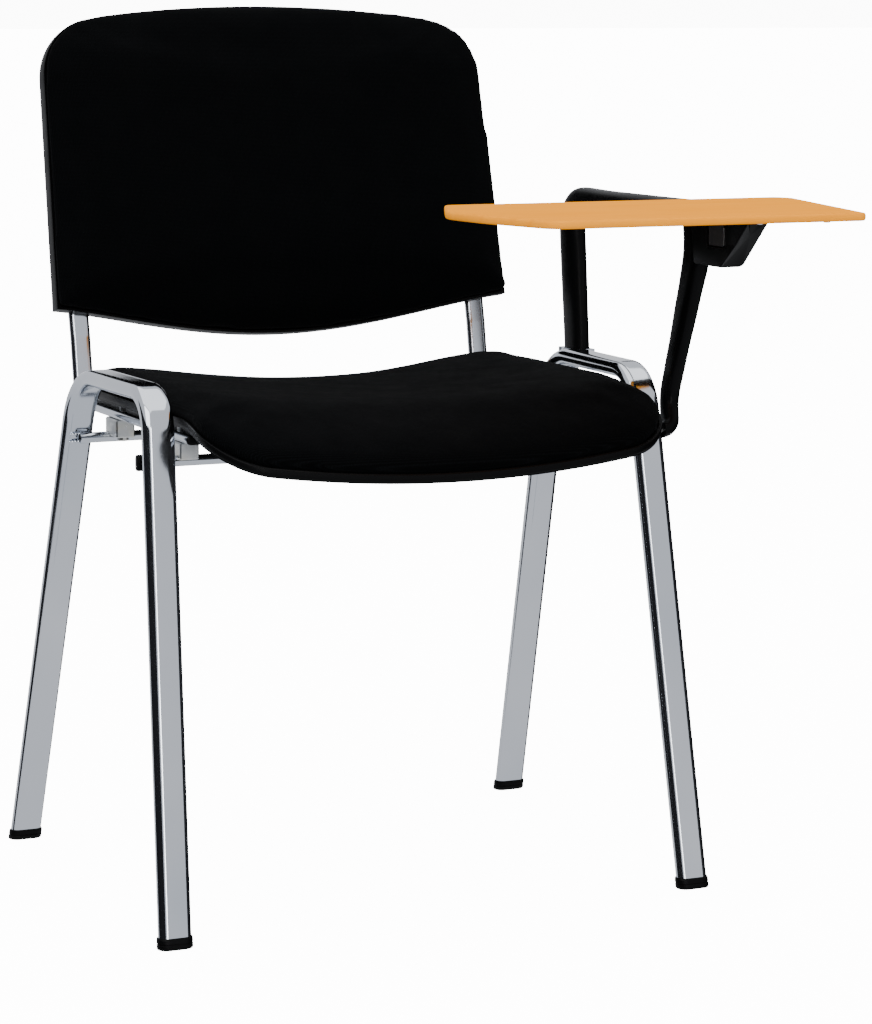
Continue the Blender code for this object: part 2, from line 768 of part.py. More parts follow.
def make_bolt(name, seat_point, direction, length, radius=BOLT_RADIUS, head=0.0055,
              tall=0.0034, material="zinc"):
    """Pan head below the seat point and a plain shank along direction."""
    profile = [(-tall, 0.66 * head), (-0.6 * tall, head), (0, head), (0, radius),
               (length, radius)]
    return turned(name, seat_point, direction, profile, material, 10)


def make_insert(name, x, y, floor):
    """Threaded sleeve pressed into the board."""
    loops = []
    low, high = floor + 0.0004, floor + BOARD_THICK - INSERT_DEPTH
    outer, inner = INSERT_RADIUS, BOLT_RADIUS + GAP
    for z, radius in ((low, outer), (high, outer), (high, inner), (low, inner)):
        loops.append([Vector((x + a, y + b, z)) for a, b in circle(radius, 12)])
    return loft(name, loops, "zinc", ring=True)


def make_back_fixings(board, uprights, cover):
    behind = Vector((0, math.cos(BACK_LEAN), -math.sin(BACK_LEAN)))
    depth = upright_depth()
    for label, side in (("left", 1), ("right", -1)):
        for place, t in (("lower", 0.045), ("upper", 0.140)):
            start = back_point(side * UPRIGHT_X, t, depth + UPRIGHT_THIN + GAP)
            length = UPRIGHT_THIN + GAP + 0.0085
            tip = start - behind * (length + 0.0006)
            drill(uprights[side], start + behind * 0.004, start - behind * 0.0105,
                  0.0022 + GAP)
            drill(board, start + behind * 0.004, tip, 0.0022 + GAP)
            drill(cover, start - behind * 0.003, start + behind * 0.0032, 0.0050)
            make_bolt("back_screw_" + place + "_" + label, start, -behind, length,
                      0.0022, 0.0042, 0.0022)


# ---------------------------------------------------------------------- armrest
def hook_face(direction):
    """Outer (1) or inner (-1) face of the front leg at the hook."""
    centre = leg_x(FRONT_FOOT, HOOK_Z)
    return centre + direction * (TUBE_WIDE / 2 + 0.0006)


def arm_path():
    """Rear post, top run, front post and the inward hook on the front leg."""
    top = ARM_TOP - 0.011
    corners = [(ARM_X, ARM_FOOT_Y, ARM_FOOT_Z), (ARM_X, 0.118, top), (ARM_X, -0.143, top),
               (ARM_X, -0.1490, 0.590), (ARM_X, -0.0935, 0.4487), (0.2655, HOOK_Y, 0.4220),
               (hook_face(1), HOOK_Y, HOOK_Z)]
    return rounded(corners, [0, 0.030, 0.015, 0.060, 0.030, 0.0115, 0], step=math.radians(18))


def arm_section(share):
    """Across and fore-and-aft size along the arm, from rear foot to hook."""
    keys = [(0.0, 0.0185, 0.036), (0.17, 0.0195, 0.037), (0.27, 0.0235, 0.024),
            (0.36, 0.0240, 0.022), (0.60, 0.0240, 0.022), (0.655, 0.0220, 0.0235),
            (0.70, 0.0205, 0.030), (0.77, 0.0182, 0.027), (0.86, 0.0163, 0.023),
            (0.92, 0.0158, 0.0215), (0.955, 0.0155, 0.0205), (1.0, 0.0140, 0.0190)]
    for (a, wide_a, thin_a), (b, wide_b, thin_b) in zip(keys, keys[1:]):
        if share <= b:
            t = (share - a) / (b - a)
            t = t * t * (3 - 2 * t)
            return oval(wide_a + (wide_b - wide_a) * t, thin_a + (thin_b - thin_a) * t)
    return oval(keys[-1][1], keys[-1][2])


def densify(path, longest=0.040):
    result = []
    for one, two in zip(path, path[1:]):
        pieces = max(1, math.ceil((two - one).length / longest))
        result += [one.lerp(two, k / pieces) for k in range(pieces)]
    return result + [path[-1]]


def arm_frames(path):
    """Section axes along the arm; the hook turns the section inward."""
    loops = []
    lengths = [0.0]
    for one, two in zip(path, path[1:]):
        lengths.append(lengths[-1] + (two - one).length)
    for point, along, reached in zip(path, tangents(path), lengths):
        fore = Vector((0, along.z, -along.y))
        if fore.length < 0.5:
            fore = Vector((0, -1, 0.35))
        fore = (fore - along * fore.dot(along)).normalized()
        wide = fore.cross(along)
        section = arm_section(reached / lengths[-1])
        loops.append([point + wide * a + fore * b for a, b in section])
    return loops


def make_armrest():
    loops = arm_frames(densify(arm_path()))
    loops[0] = [Vector((p.x, p.y, ARM_FOOT_Z)) for p in loops[0]]
    loops[-1] = [Vector((hook_face(1), p.y, p.z)) for p in loops[-1]]
    return loft("armrest", loops, "plastic", smooth_angle=50)


def arch_level(y):
    """Centre height of the arch over its rear bend."""
    crest = ARCH_TOP - TUBE_THIN / 2
    corner_y = REAR_FOOT[1] + REAR_LEAN * crest
    bend = math.pi / 2 - math.atan(-REAR_LEAN)
    start_y = corner_y - REAR_BEND * math.tan(bend / 2)
    if y <= start_y:
        return crest
    return crest - REAR_BEND + math.sqrt(REAR_BEND ** 2 - (y - start_y) ** 2)


def make_arm_fixings(arm, frame):
    """Angle bracket and screws at the rear post, one bolt at the front hook."""
    shelf = ARM_FOOT_Z - GAP
    flange = 0.030
    face = leg_x(REAR_FOOT, shelf - flange) + TUBE_WIDE / 2 + GAP
    low_y, high_y = ARM_FOOT_Y - 0.019, ARM_FOOT_Y + 0.019
    bracket = box("arm_bracket", (face, low_y, shelf - 0.0028), (ARM_X + 0.0105, high_y, shelf),
                  "chrome")
    wall = box("flange", (face, low_y, shelf - flange), (face + 0.0028, high_y, shelf))
    boolean(bracket, wall, "UNION")
    bolt_z = arch_level(BRACKET_BOLT_Y)
    outside = face + 0.0028 + GAP
    for target in (bracket, frame):
        drill(target, (outside + 0.004, BRACKET_BOLT_Y, bolt_z),
              (REAR_X + 0.002, BRACKET_BOLT_Y, bolt_z), 0.0025 + GAP)
    make_bolt("arm_bracket_bolt", (outside, BRACKET_BOLT_Y, bolt_z), (-1, 0, 0), 0.0125,
              0.0025, 0.0034, 0.0026)
    low = (ARM_X + 0.003, ARM_FOOT_Y, shelf - 0.0028 - GAP)
    for target in (bracket, arm):
        drill(target, (low[0], low[1], low[2] - 0.004), (low[0], low[1], low[2] + 0.0215),
              0.0022 + GAP)
    make_bolt("arm_foot_screw", low, (0, 0, 1), 0.021, 0.0022, 0.0042, 0.0024)
    hook = Vector((hook_face(-1), HOOK_Y, HOOK_Z))
    inside = hook - Vector((0.006, 0, 0))
    tip = hook + Vector((0.0405, 0, 0))
    drill(frame, inside, hook + Vector((0.034, 0, 0)), 0.0025 + GAP)
    drill(arm, hook + Vector((0.030, 0, 0)), tip, 0.0025 + GAP)
    make_bolt("arm_hook_bolt", hook, (1, 0, 0), 0.0395, 0.0025, 0.0045, 0.0028)


# ------------------------------------------------------------- hinge and tablet
def block_section(count=5):
    """Block outline across the chair; its outer top corner clears the plate."""
    reach = BLOCK_TOP - HINGE_Z
    edge = 0.0025
    points = [(-BLOCK_HALF + edge, BLOCK_BOTTOM - HINGE_Z), (-BLOCK_HALF, BLOCK_BOTTOM - HINGE_Z + edge),
              (-BLOCK_HALF, reach - 0.001), (-BLOCK_HALF + 0.001, reach)]
    half = BLOCK_HALF - 0.001
    start = math.asin(half / reach)
    for i in range(count + 1):
        angle = start * i / count
        points.append((reach * math.sin(angle), reach * math.cos(angle) - 0.0002))
    points += [(half, BLOCK_BOTTOM - HINGE_Z + edge), (half - edge, BLOCK_BOTTOM - HINGE_Z)]
    return points


def make_hinge_block():
    """Moulded block ahead of the front post, slanting under the tablet."""
    section = block_section()
    low = BLOCK_BOTTOM - HINGE_Z
    high = BLOCK_TOP - HINGE_Z - 0.006
    rear, front = [], []
    for a, b in section:
        rise = min(max((b - low) / (high - low), 0.0), 1.0)
        rake = BLOCK_RAKE * (b - low)
        slant = BLOCK_TOE + (BLOCK_NOSE - BLOCK_TOE) * rise ** 0.85
        rear.append(Vector((HINGE_X + a, BLOCK_REAR + rake, HINGE_Z + b)))
        front.append(Vector((HINGE_X + a, slant, HINGE_Z + b)))
    inset = [Vector((HINGE_X + (p.x - HINGE_X) * 0.88, p.y - 0.0012,
                     HINGE_Z + (p.z - HINGE_Z) * 0.97)) for p in front]
    front = [p + Vector((0, 0.0012, 0)) for p in front]
    block = loft("hinge_block", [rear, front, inset], "plastic")
    slot = box("slot", (HINGE_X - 0.05, SLOT_FRONT, SLOT_FLOOR), (HINGE_X + 0.05, SLOT_REAR, 0.66))
    boolean(block, slot)
    drill(block, (HINGE_X, PIN_FRONT - 0.001, HINGE_Z), (HINGE_X, BLOCK_REAR + 0.02, HINGE_Z),
          PIN_RADIUS + GAP, 20)
    return block


def make_hinge_pin():
    length = PIN_LENGTH
    profile = [(0, PIN_RADIUS - 0.0006), (0.0006, PIN_RADIUS), (length - 0.0006, PIN_RADIUS),
               (length, PIN_RADIUS - 0.0006)]
    return turned("hinge_pin", (HINGE_X, PIN_FRONT + length, HINGE_Z), (0, -1, 0), profile, "zinc", 20)


def make_hinge_washer(name, low_y, high_y, reach):
    """Flat steel plate on the pin, filling the slot beside the knuckle."""
    plate = box(name, (HINGE_X - reach, low_y, HINGE_Z - 0.0085),
                (HINGE_X + 0.0095, high_y, HINGE_Z + 0.0075))
    return drill(plate, (HINGE_X, low_y - 0.002, HINGE_Z), (HINGE_X, high_y + 0.002, HINGE_Z),
                 PIN_RADIUS + GAP, 20)


def tablet_outline(inset=0.0):
    corners = [(0.0155, TABLET_REAR, 0), (-0.0230, -0.240, 0), (-0.0190, -0.305, 0),
               (0.002, TABLET_FRONT, 0), (0.300, TABLET_FRONT, 0), (0.359, -0.170, 0),
               (0.352, TABLET_REAR, 0)]
    radii = [0.010, 0.060, 0.080, 0.020, 0.009, 0.018, 0.012]
    path = rounded(corners, radii, closed=True, step=math.radians(14))
    count = len(path)
    points = []
    for i, point in enumerate(path):
        along = (path[(i + 1) % count] - path[i - 1]).normalized()
        points.append(point + Vector((-along.y, along.x, 0)) * inset)
    return points


def make_tablet_board():
    low, high = TABLET_TOP - TABLET_THICK, TABLET_TOP
    loops = []
    for inset, z in ((0.0022, low), (0.0006, low + 0.0010), (0.0, low + 0.0024),
                     (0.0, high - 0.0024), (0.0006, high - 0.0010), (0.0022, high)):
        loops.append([Vector((p.x, p.y, z)) for p in tablet_outline(inset)])
    return loft("tablet_board", loops, "tablet")


def make_tablet_carrier():
    """Steel plate under the tablet with the knuckle that turns on the pin."""
    top = TABLET_TOP - TABLET_THICK - GAP
    low = top - PLATE_THICK
    carrier = soft_box("tablet_carrier", (*CARRIER_LOW, low), (*CARRIER_HIGH, top), 0.0006,
                       "black_steel", 1)
    radius, cheek, keel = 0.0092, 0.0002 - BLOCK_HALF, SLOT_FLOOR + 0.0005 - HINGE_Z
    outline = [(cheek, keel + 0.0014), (cheek + 0.0014, keel), (0.0, keel)]
    for i in range(8):
        angle = math.radians(285 + 75 * i / 7)
        outline.append((radius * math.cos(angle), radius * math.sin(angle)))
    outline += [(radius, low + 0.0008 - HINGE_Z), (cheek, low + 0.0008 - HINGE_Z)]
    loops = []
    for y in (SLOT_REAR - 0.0024, SLOT_FRONT + 0.0024):
        loops.append([Vector((HINGE_X + a, y, HINGE_Z + b)) for a, b in outline])
    knuckle = loft("knuckle", loops, "black_steel")
    boolean(carrier, knuckle, "UNION")
    drill(carrier, (HINGE_X, SLOT_REAR + 0.002, HINGE_Z), (HINGE_X, SLOT_FRONT - 0.002, HINGE_Z),
          PIN_RADIUS + GAP, 20)
    return carrier


def make_tablet_group():
    block = make_hinge_block()
    make_hinge_pin()
    make_hinge_washer("hinge_washer_rear", SLOT_REAR - 0.0018, SLOT_REAR - GAP, 0.0095)
    make_hinge_washer("hinge_washer_front", SLOT_FRONT + GAP, SLOT_FRONT + 0.0018,
                      BLOCK_HALF + 0.0004)
    board = make_tablet_board()
    carrier = make_tablet_carrier()
    moving = [board, carrier]
    under = TABLET_TOP - TABLET_THICK - GAP - PLATE_THICK - GAP
    places = [(x, y) for y in (CARRIER_LOW[1] + SCREW_INSET, CARRIER_HIGH[1] - SCREW_INSET)
              for x in (CARRIER_LOW[0] + SCREW_INSET, CARRIER_HIGH[0] - SCREW_INSET)]
    for number, (x, y) in enumerate(places, 1):
        for target in (carrier, board):
            drill(target, (x, y, under - 0.003), (x, y, under + 0.0068), 0.0018 + GAP)
        moving.append(make_bolt("tablet_screw_%d" % number, (x, y, under), (0, 0, 1), 0.0062,
                                0.0018, 0.0034, 0.0019))
    return block, moving


def make_block_screws(arm, block):
    """Two screws from behind the front post into the block."""
    for place, z in (("upper", 0.606), ("lower", 0.5925)):
        start = Vector((HINGE_X, -0.1345, z))
        drill(arm, start + Vector((0, 0.02, 0)), start, 0.0042)
        drill(arm, start + Vector((0, 0.001, 0)), (HINGE_X, -0.175, z), 0.0020 + GAP)
        drill(block, (HINGE_X, BLOCK_REAR + 0.009, z), (HINGE_X, BLOCK_REAR - 0.0182, z),
              0.0020 + GAP)
        make_bolt("block_screw_" + place, start - Vector((0, GAP, 0)) + Vector((0, 0.0009, 0)),
                  (0, -1, 0), 0.0455, 0.0020, 0.0036, 0.0022)


# --------------------------------------------------------------------- assembly
def clear_scene():
    for thing in list(bpy.data.objects):
        bpy.data.objects.remove(thing)


def hang_on_hinge(moving):
    """Parent the moving pieces to an empty on the pin's axis."""
    pivot = bpy.data.objects.new("tablet_pivot", None)
    pivot.location = (HINGE_X, (SLOT_REAR + SLOT_FRONT) / 2, HINGE_Z)
    bpy.context.scene.collection.objects.link(pivot)
    for thing in moving:
        thing.parent = pivot
        thing.matrix_parent_inverse = Matrix.Translation(-pivot.location)


def centre_on_floor():
    """Move everything so the origin is the middle of the base of the box."""
    bpy.context.view_layer.update()
    corners = []
    for thing in bpy.data.objects:
        if thing.type == "MESH":
            corners += [thing.matrix_world @ vert.co for vert in thing.data.vertices]
    low = [min(corner[axis] for corner in corners) for axis in range(3)]
    high = [max(corner[axis] for corner in corners) for axis in range(3)]
    shift = Vector((-(low[0] + high[0]) / 2, -(low[1] + high[1]) / 2, -low[2]))
    for thing in bpy.data.objects:
        if thing.parent is None:
            thing.location += shift
    print("moved by", [round(value, 6) for value in shift])


def main():
    clear_scene()
    MATERIALS.update(make_materials())
    make_frame_group()
    make_cross_group()
    uprights = {1: make_upright("back_upright_left", 1), -1: make_upright("back_upright_right", -1)}
    make_upright_plug("upright_plug_left", 1)
    make_upright_plug("upright_plug_right", -1)
    seat_board = make_seat_board()
    make_seat_cushion()
    seat_cover = make_seat_cover()
    make_seat_fixings(seat_board, uprights, seat_cover)
    back_board = make_back_board()
    make_back_cushion()
    back_cover = make_back_cover([make_upright_tool(1), make_upright_tool(-1)])
    make_back_fixings(back_board, uprights, back_cover)
    arm = make_armrest()
    make_arm_fixings(arm, bpy.data.objects["side_frame_left"])
    block, moving = make_tablet_group()
    make_block_screws(arm, block)
    hang_on_hinge(moving)
    centre_on_floor()


main()
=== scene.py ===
"""Studio scene for a student desk chair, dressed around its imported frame.

Every new piece is laid out in the chair's own coordinates (x = 0 on the seat's
centre line) and moved by ORIGIN, which comes from the record's front left foot.
"""
import json
import math

import bmesh
import bpy
from mathutils import Matrix, Vector


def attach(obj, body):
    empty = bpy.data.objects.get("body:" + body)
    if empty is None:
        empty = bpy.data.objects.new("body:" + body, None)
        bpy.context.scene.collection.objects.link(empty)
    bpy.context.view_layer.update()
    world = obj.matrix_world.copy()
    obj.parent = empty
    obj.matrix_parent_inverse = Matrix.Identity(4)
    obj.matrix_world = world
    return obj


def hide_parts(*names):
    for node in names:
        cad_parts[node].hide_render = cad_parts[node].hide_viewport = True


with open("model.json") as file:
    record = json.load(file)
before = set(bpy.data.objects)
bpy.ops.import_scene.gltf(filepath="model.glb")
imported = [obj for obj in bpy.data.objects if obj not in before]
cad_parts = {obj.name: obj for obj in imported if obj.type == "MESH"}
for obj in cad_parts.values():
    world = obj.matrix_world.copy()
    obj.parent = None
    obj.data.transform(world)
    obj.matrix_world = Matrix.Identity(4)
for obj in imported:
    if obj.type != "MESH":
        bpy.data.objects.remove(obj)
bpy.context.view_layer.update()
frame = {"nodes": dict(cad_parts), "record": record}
NODES = frame["nodes"]
FOOT = next(m for m in frame["record"]["mounts"] if m["name"] == "foot_front_left")["pos_m"]

# ---------------------------------------------------------------- dimensions
GAP = 0.0003
TUBE_WIDE, TUBE_THIN = 0.030, 0.015
FRONT_X, REAR_X, ARCH_TOP = 0.2380, 0.2434, 0.484
FRONT_FOOT, REAR_FOOT = (0.2545, -0.182), (0.2634, 0.2478)
ORIGIN = Vector((FOOT[0] - FRONT_FOOT[0], FOOT[1] - FRONT_FOOT[1], 0.0))
FRONT_LEAN, REAR_LEAN = 0.1734, -0.321
FRONT_BEND, REAR_BEND = 0.040, 0.065
SHOE_SOLE, SHOE_HEIGHT, SHOE_WALL = 0.004, 0.0105, 0.0011
CROSS_RADIUS, CROSS_WALL, CROSS_EDGE, CROSS_BORE = 0.005, 0.0012, 0.0003, 0.008
FRONT_CROSS_Z, REAR_CROSS_Z, REAR_CROSS_PAST = 0.4165, 0.415, 0.003
CAP_END_X, CAP_LENGTH, CAP_EDGE = 0.2568, 0.0106, 0.0016
CAP_WIDE, CAP_TALL = 1.7 * CROSS_RADIUS, 0.0146
BEAD_HALF, BEAD_POINTS, BEAD_RADIUS, BEAD_RIPPLE = 0.0095, 21, 0.0014, 0.00025
UPRIGHT_X, UPRIGHT_WIDE, UPRIGHT_THIN = 0.2096, 0.020, 0.0085
RUN_Z, RUN_FRONT_Y = 0.4377, -0.124
UPRIGHT_FOOT_Y, UPRIGHT_BEND, KNEE_Z, KNEE_BEND = 0.203, 0.026, 0.498, 0.05
UPRIGHT_REACH = 0.165         # of its top end above the backrest's lower edge
SEAT_HALF, SEAT_FRONT, SEAT_REAR = 0.2215, -0.212, 0.192
SEAT_EDGE_Z, SEAT_DISH, SEAT_FALL, FALL_START = 0.4475, 0.0215, 0.0265, -0.105
SEAT_LEVEL, SEAT_FLARE, FLARE_START = 0.0080, 0.0040, -0.122
SEAT_REAR_CORNER, SEAT_FRONT_CORNER, SEAT_BOW = 0.040, 0.050, 0.010
BOARD_THICK, SEAT_SHELL = 0.007, 0.0022
SEAT_FOAM_EDGE, SEAT_FOAM_MID = 0.016, 0.0245
SEAT_MIDDLE = (0.0, -0.01)
BACK_LEAN, BACK_Y, BACK_Z = math.radians(13.6), 0.199, 0.528
BACK_HALF_BOTTOM, BACK_HALF_TOP, BACK_HEIGHT = 0.2380, 0.2300, 0.304
BACK_BELLY, BACK_CROWN, BACK_SAG, BACK_SHOULDER = 0.028, 0.025, 0.024, 0.062
BACK_BOARD, BACK_FOAM_EDGE, BACK_FOAM_MID = 0.009, 0.010, 0.028
BACK_SHELL_DEPTH, BACK_SHELL = 0.026, 0.0025
BACK_MIDDLE = (0.0, 0.135)
CUSHION_INSET = 0.0008
BACK_HELD, SEAT_HELD = 0.0045, 0.0050     # foam beside the board that stays put
CUSHION_VOXEL, CUSHION_PRESSURE, CUSHION_SWELL = 0.0045, 4.0, 0.0035
CLOTH_FRAMES, SMOOTH_ROUNDS = 20, 6
ARM_X, ARM_TOP = 0.271, 0.6385
ARM_FOOT_Y, ARM_FOOT_Z = 0.1035, 0.4795
HOOK_Y, HOOK_Z, HOOK_HOLE = -0.1100, 0.4215, 0.0028
ARM_SCREW_LEVELS, ARM_SCREW_BORE, ARM_SCREW_HOLE = (0.606, 0.5925), (-0.1145, -0.1345), 0.0042
HINGE_X, HINGE_Z = 0.271, 0.610
TABLET_TOP, TABLET_THICK = 0.6400, 0.007
TABLET_REAR, TABLET_FRONT = -0.150, -0.402
BLOCK_TOP = TABLET_TOP - TABLET_THICK - 0.002 - 3 * GAP
BLOCK_BOTTOM, BLOCK_HALF, BLOCK_REAR = 0.581, 0.012, -0.1633
BLOCK_RAKE, BLOCK_EDGE = 0.1636, 0.0014
BLOCK_TOE, BLOCK_NOSE = -0.2137, -0.2650
SLOT_REAR, SLOT_FRONT, SLOT_FLOOR, SLOT_TOP = -0.1900, -0.2225, 0.599, 0.66
SMOOTH_ANGLE = 35.0
# Camera, floor and world, and the dark cards that the chrome reflects.
CAMERA_PLACE, CAMERA_PITCH, CAMERA_YAW = (-1.1585, -2.8306, 0.8064), 7.338, -23.511
CAMERA_LENS, CAMERA_SENSOR, CAMERA_SHIFT, CAMERA_CLIP = 115.65, 36.0, -0.0705, (0.05, 600.0)
FLOOR_HALF, FLOOR_GLOW, WORLD_GLOW, BACKDROP_GLOW = 200, 13.0, 0.95, 14.5
FLAG_DISTANCE, FLAG_WIDE, FLAG_LOW, FLAG_HIGH = 3.4, 2.1, -1.5, 1.9
FLAGS = {"left": (-44, -77, -108), "right": (66, 99, 132)}
# Span that a noise texture mostly keeps to.
NOISE_LOW, NOISE_HIGH = 0.3, 0.7


# ------------------------------------------------------------------ materials
class Shader:
    """A small helper that builds one node material."""

    def __init__(self, name, colour, roughness, metallic=0.0, specular=0.5):
        self.material = bpy.data.materials.new(name)
        self.material.use_nodes = True
        self.tree = self.material.node_tree
        self.bsdf = self.tree.nodes["Principled BSDF"]
        self.bsdf.inputs["Base Color"].default_value = (*colour, 1.0)
        self.bsdf.inputs["Roughness"].default_value = roughness
        self.bsdf.inputs["Metallic"].default_value = metallic
        self.bsdf.inputs["Specular IOR Level"].default_value = specular
        self.coords = self.tree.nodes.new("ShaderNodeTexCoord").outputs["Object"]

    def link(self, source, target):
        self.tree.links.new(source, target)
        return target

    def mapped(self, scale):
        node = self.tree.nodes.new("ShaderNodeMapping")
        node.inputs["Scale"].default_value = scale
        self.link(self.coords, node.inputs["Vector"])
        return node.outputs["Vector"]

    def noise(self, scale, detail=2.0, stretch=(1, 1, 1), distortion=0.0):
        node = self.tree.nodes.new("ShaderNodeTexNoise")
        node.inputs["Scale"].default_value = scale
        node.inputs["Detail"].default_value = detail
        node.inputs["Distortion"].default_value = distortion
        self.link(self.mapped(stretch), node.inputs["Vector"])
        return node.outputs["Fac"]

    def voronoi(self, scale):
        node = self.tree.nodes.new("ShaderNodeTexVoronoi")
        node.inputs["Scale"].default_value = scale
        self.link(self.coords, node.inputs["Vector"])
        return node.outputs["Distance"]

    def wave(self, scale, axis, distortion, detail):
        node = self.tree.nodes.new("ShaderNodeTexWave")
        node.wave_type = "BANDS"
        node.bands_direction = axis
        node.inputs["Scale"].default_value = scale
        node.inputs["Distortion"].default_value = distortion
        node.inputs["Detail"].default_value = detail
        self.link(self.coords, node.inputs["Vector"])
        return node.outputs["Fac"]

    def math(self, operation, one, two):
        node = self.tree.nodes.new("ShaderNodeMath")
        node.operation = operation
        for socket, value in zip(node.inputs, (one, two)):
            if isinstance(value, (int, float)):
                socket.default_value = value
            else:
                self.link(value, socket)
        return node.outputs["Value"]

    def ramp(self, factor, stops):
        node = self.tree.nodes.new("ShaderNodeValToRGB")
        elements = node.color_ramp.elements
        while len(elements) < len(stops):
            elements.new(0.5)
        for element, (position, colour) in zip(elements, stops):
            element.position = position
            element.color = (*colour, 1.0)
        self.link(factor, node.inputs["Fac"])
        return node.outputs["Color"]

    def spread(self, factor, low, high):
        node = self.tree.nodes.new("ShaderNodeMapRange")
        node.inputs["From Min"].default_value = NOISE_LOW
        node.inputs["From Max"].default_value = NOISE_HIGH
        node.inputs["To Min"].default_value = low
        node.inputs["To Max"].default_value = high
        self.link(factor, node.inputs["Value"])
        return node.outputs["Result"]

    def bump(self, height, strength, distance, before=None):
        node = self.tree.nodes.new("ShaderNodeBump")
        node.inputs["Strength"].default_value = strength
        node.inputs["Distance"].default_value = distance
        self.link(height, node.inputs["Height"])
        if before is not None:
            self.link(before, node.inputs["Normal"])
        return node.outputs["Normal"]

    def set(self, socket, source):
        self.link(source, self.bsdf.inputs[socket])


def make_chrome():
    shader = Shader("chrome_plate", (0.60, 0.63, 0.67), 0.10, 1.0)
    smudge = shader.noise(9.0, 4.0)
    shader.set("Roughness", shader.spread(smudge, 0.07, 0.17))
    shader.set("Base Color", shader.ramp(shader.noise(5.0, 3.0), [
        (0.3, (0.55, 0.58, 0.63)), (0.7, (0.66, 0.68, 0.71))]))
    draw = shader.noise(420.0, 2.0, (1.0, 1.0, 0.06))
    ripple = shader.bump(shader.noise(38.0, 1.0), 0.05, 0.0006)
    shader.set("Normal", shader.bump(draw, 0.03, 0.0002, ripple))
    return shader.material


def make_zinc():
    shader = Shader("zinc_plate", (0.50, 0.51, 0.50), 0.34, 1.0)
    cloud = shader.noise(60.0, 4.0)
    shader.set("Base Color", shader.ramp(cloud, [
        (0.3, (0.42, 0.44, 0.45)), (0.55, (0.56, 0.57, 0.56)), (0.75, (0.60, 0.58, 0.50))]))
    shader.set("Roughness", shader.spread(shader.noise(160.0, 3.0), 0.24, 0.42))
    shader.set("Normal", shader.bump(shader.noise(700.0, 2.0), 0.12, 0.0002))
    return shader.material


def make_plastic(name, grain=1100.0, low=0.34, high=0.46, tone=0.0018):
    shader = Shader(name, (tone, tone, tone * 1.1), 0.4, 0.0, 0.06)
    shader.set("Base Color", shader.ramp(shader.noise(7.0, 4.0), [
        (0.3, (tone * 0.8, tone * 0.8, tone * 0.9)), (0.75, (tone * 1.5, tone * 1.5, tone * 1.6))]))
    shader.set("Roughness", shader.spread(shader.noise(24.0, 5.0), low, high))
    fine = shader.bump(shader.voronoi(grain), 0.22, 0.00025)
    shader.set("Normal", shader.bump(shader.noise(14.0, 2.0), 0.05, 0.002, fine))
    return shader.material


def make_fabric(name, first, second):
    """Plain weave: two sets of bands that cross, with slub and a little nap; its colour is painted
    shade in the weave's hollows and painted highlight on the raised crossings.
    """
    shader = Shader(name, (0.0015, 0.0017, 0.002), 0.9, 0.0, 0.02)
    warp = shader.wave(250.0, first, 0.6, 1.0)
    weft = shader.wave(250.0, second, 0.6, 1.0)
    weave = shader.math("MULTIPLY", warp, weft)
    nap = shader.noise(900.0, 3.0)
    height = shader.math("ADD", shader.math("MULTIPLY", weave, 0.75),
                         shader.math("MULTIPLY", nap, 0.25))
    # Colour follows the weave height: painted shade where it sits low, painted highlight where it
    # is raised.
    shader.set("Base Color", shader.ramp(height, [
        (0.05, (0.0005, 0.0006, 0.0007)), (0.55, (0.0015, 0.0017, 0.0020)),
        (0.95, (0.0038, 0.0044, 0.0050))]))
    shader.set("Roughness", shader.spread(shader.noise(30.0, 3.0), 0.78, 0.95))
    shader.bsdf.inputs["Sheen Weight"].default_value = 0.008
    shader.bsdf.inputs["Sheen Roughness"].default_value = 0.5
    slub = shader.bump(shader.noise(55.0, 3.0), 0.10, 0.0012)
    shader.set("Normal", shader.bump(height, 0.35, 0.0004, slub))
    return shader.material


def make_laminate():
    """Beech-coloured board: long fine grain with short dark flecks."""
    shader = Shader("beech_laminate", (0.97, 0.34, 0.010), 0.7, 0.0, 0.0)
    grain = shader.noise(90.0, 5.0, (0.10, 1.0, 1.0), 0.6)
    flecks = shader.noise(700.0, 2.0, (0.05, 1.0, 1.0))
    cloud = shader.noise(6.0, 2.0, (0.4, 1.0, 1.0))
    mixed = shader.math("ADD", shader.math("MULTIPLY", grain, 0.50),
                        shader.math("ADD", shader.math("MULTIPLY", flecks, 0.22),
                                    shader.math("MULTIPLY", cloud, 0.28)))
    shader.set("Base Color", shader.ramp(mixed, [
        (0.30, (0.90, 0.290, 0.006)), (0.48, (0.97, 0.338, 0.010)), (0.68, (1.00, 0.378, 0.020))]))
    shader.set("Roughness", shader.spread(shader.noise(40.0, 3.0), 0.52, 0.66))
    shader.set("Normal", shader.bump(flecks, 0.05, 0.0002))
    return shader.material


def make_plywood():
    shader = Shader("plywood", (0.46, 0.29, 0.14), 0.6)
    shader.set("Base Color", shader.ramp(shader.noise(60.0, 4.0, (0.1, 1.0, 1.0)), [
        (0.3, (0.36, 0.21, 0.10)), (0.7, (0.52, 0.34, 0.18))]))
    return shader.material


def make_black_steel():
    shader = Shader("black_steel", (0.012, 0.012, 0.013), 0.45, 0.0, 0.45)
    shader.set("Roughness", shader.spread(shader.noise(50.0, 4.0), 0.36, 0.52))
    shader.set("Normal", shader.bump(shader.noise(520.0, 3.0), 0.2, 0.0003))
    return shader.material


MATERIALS = {
    "chrome": make_chrome(),
    "zinc": make_zinc(),
    "black_plastic": make_plastic("black_plastic"),
    "arm_plastic": make_plastic("arm_plastic", 1500.0, 0.28, 0.40, 0.0020),
    "seat_fabric": make_fabric("seat_fabric", "X", "Y"),
    "back_fabric": make_fabric("back_fabric", "X", "Z"),
    "tablet_laminate": make_laminate(),
    "plywood": make_plywood(),
    "black_steel": make_black_steel(),
}


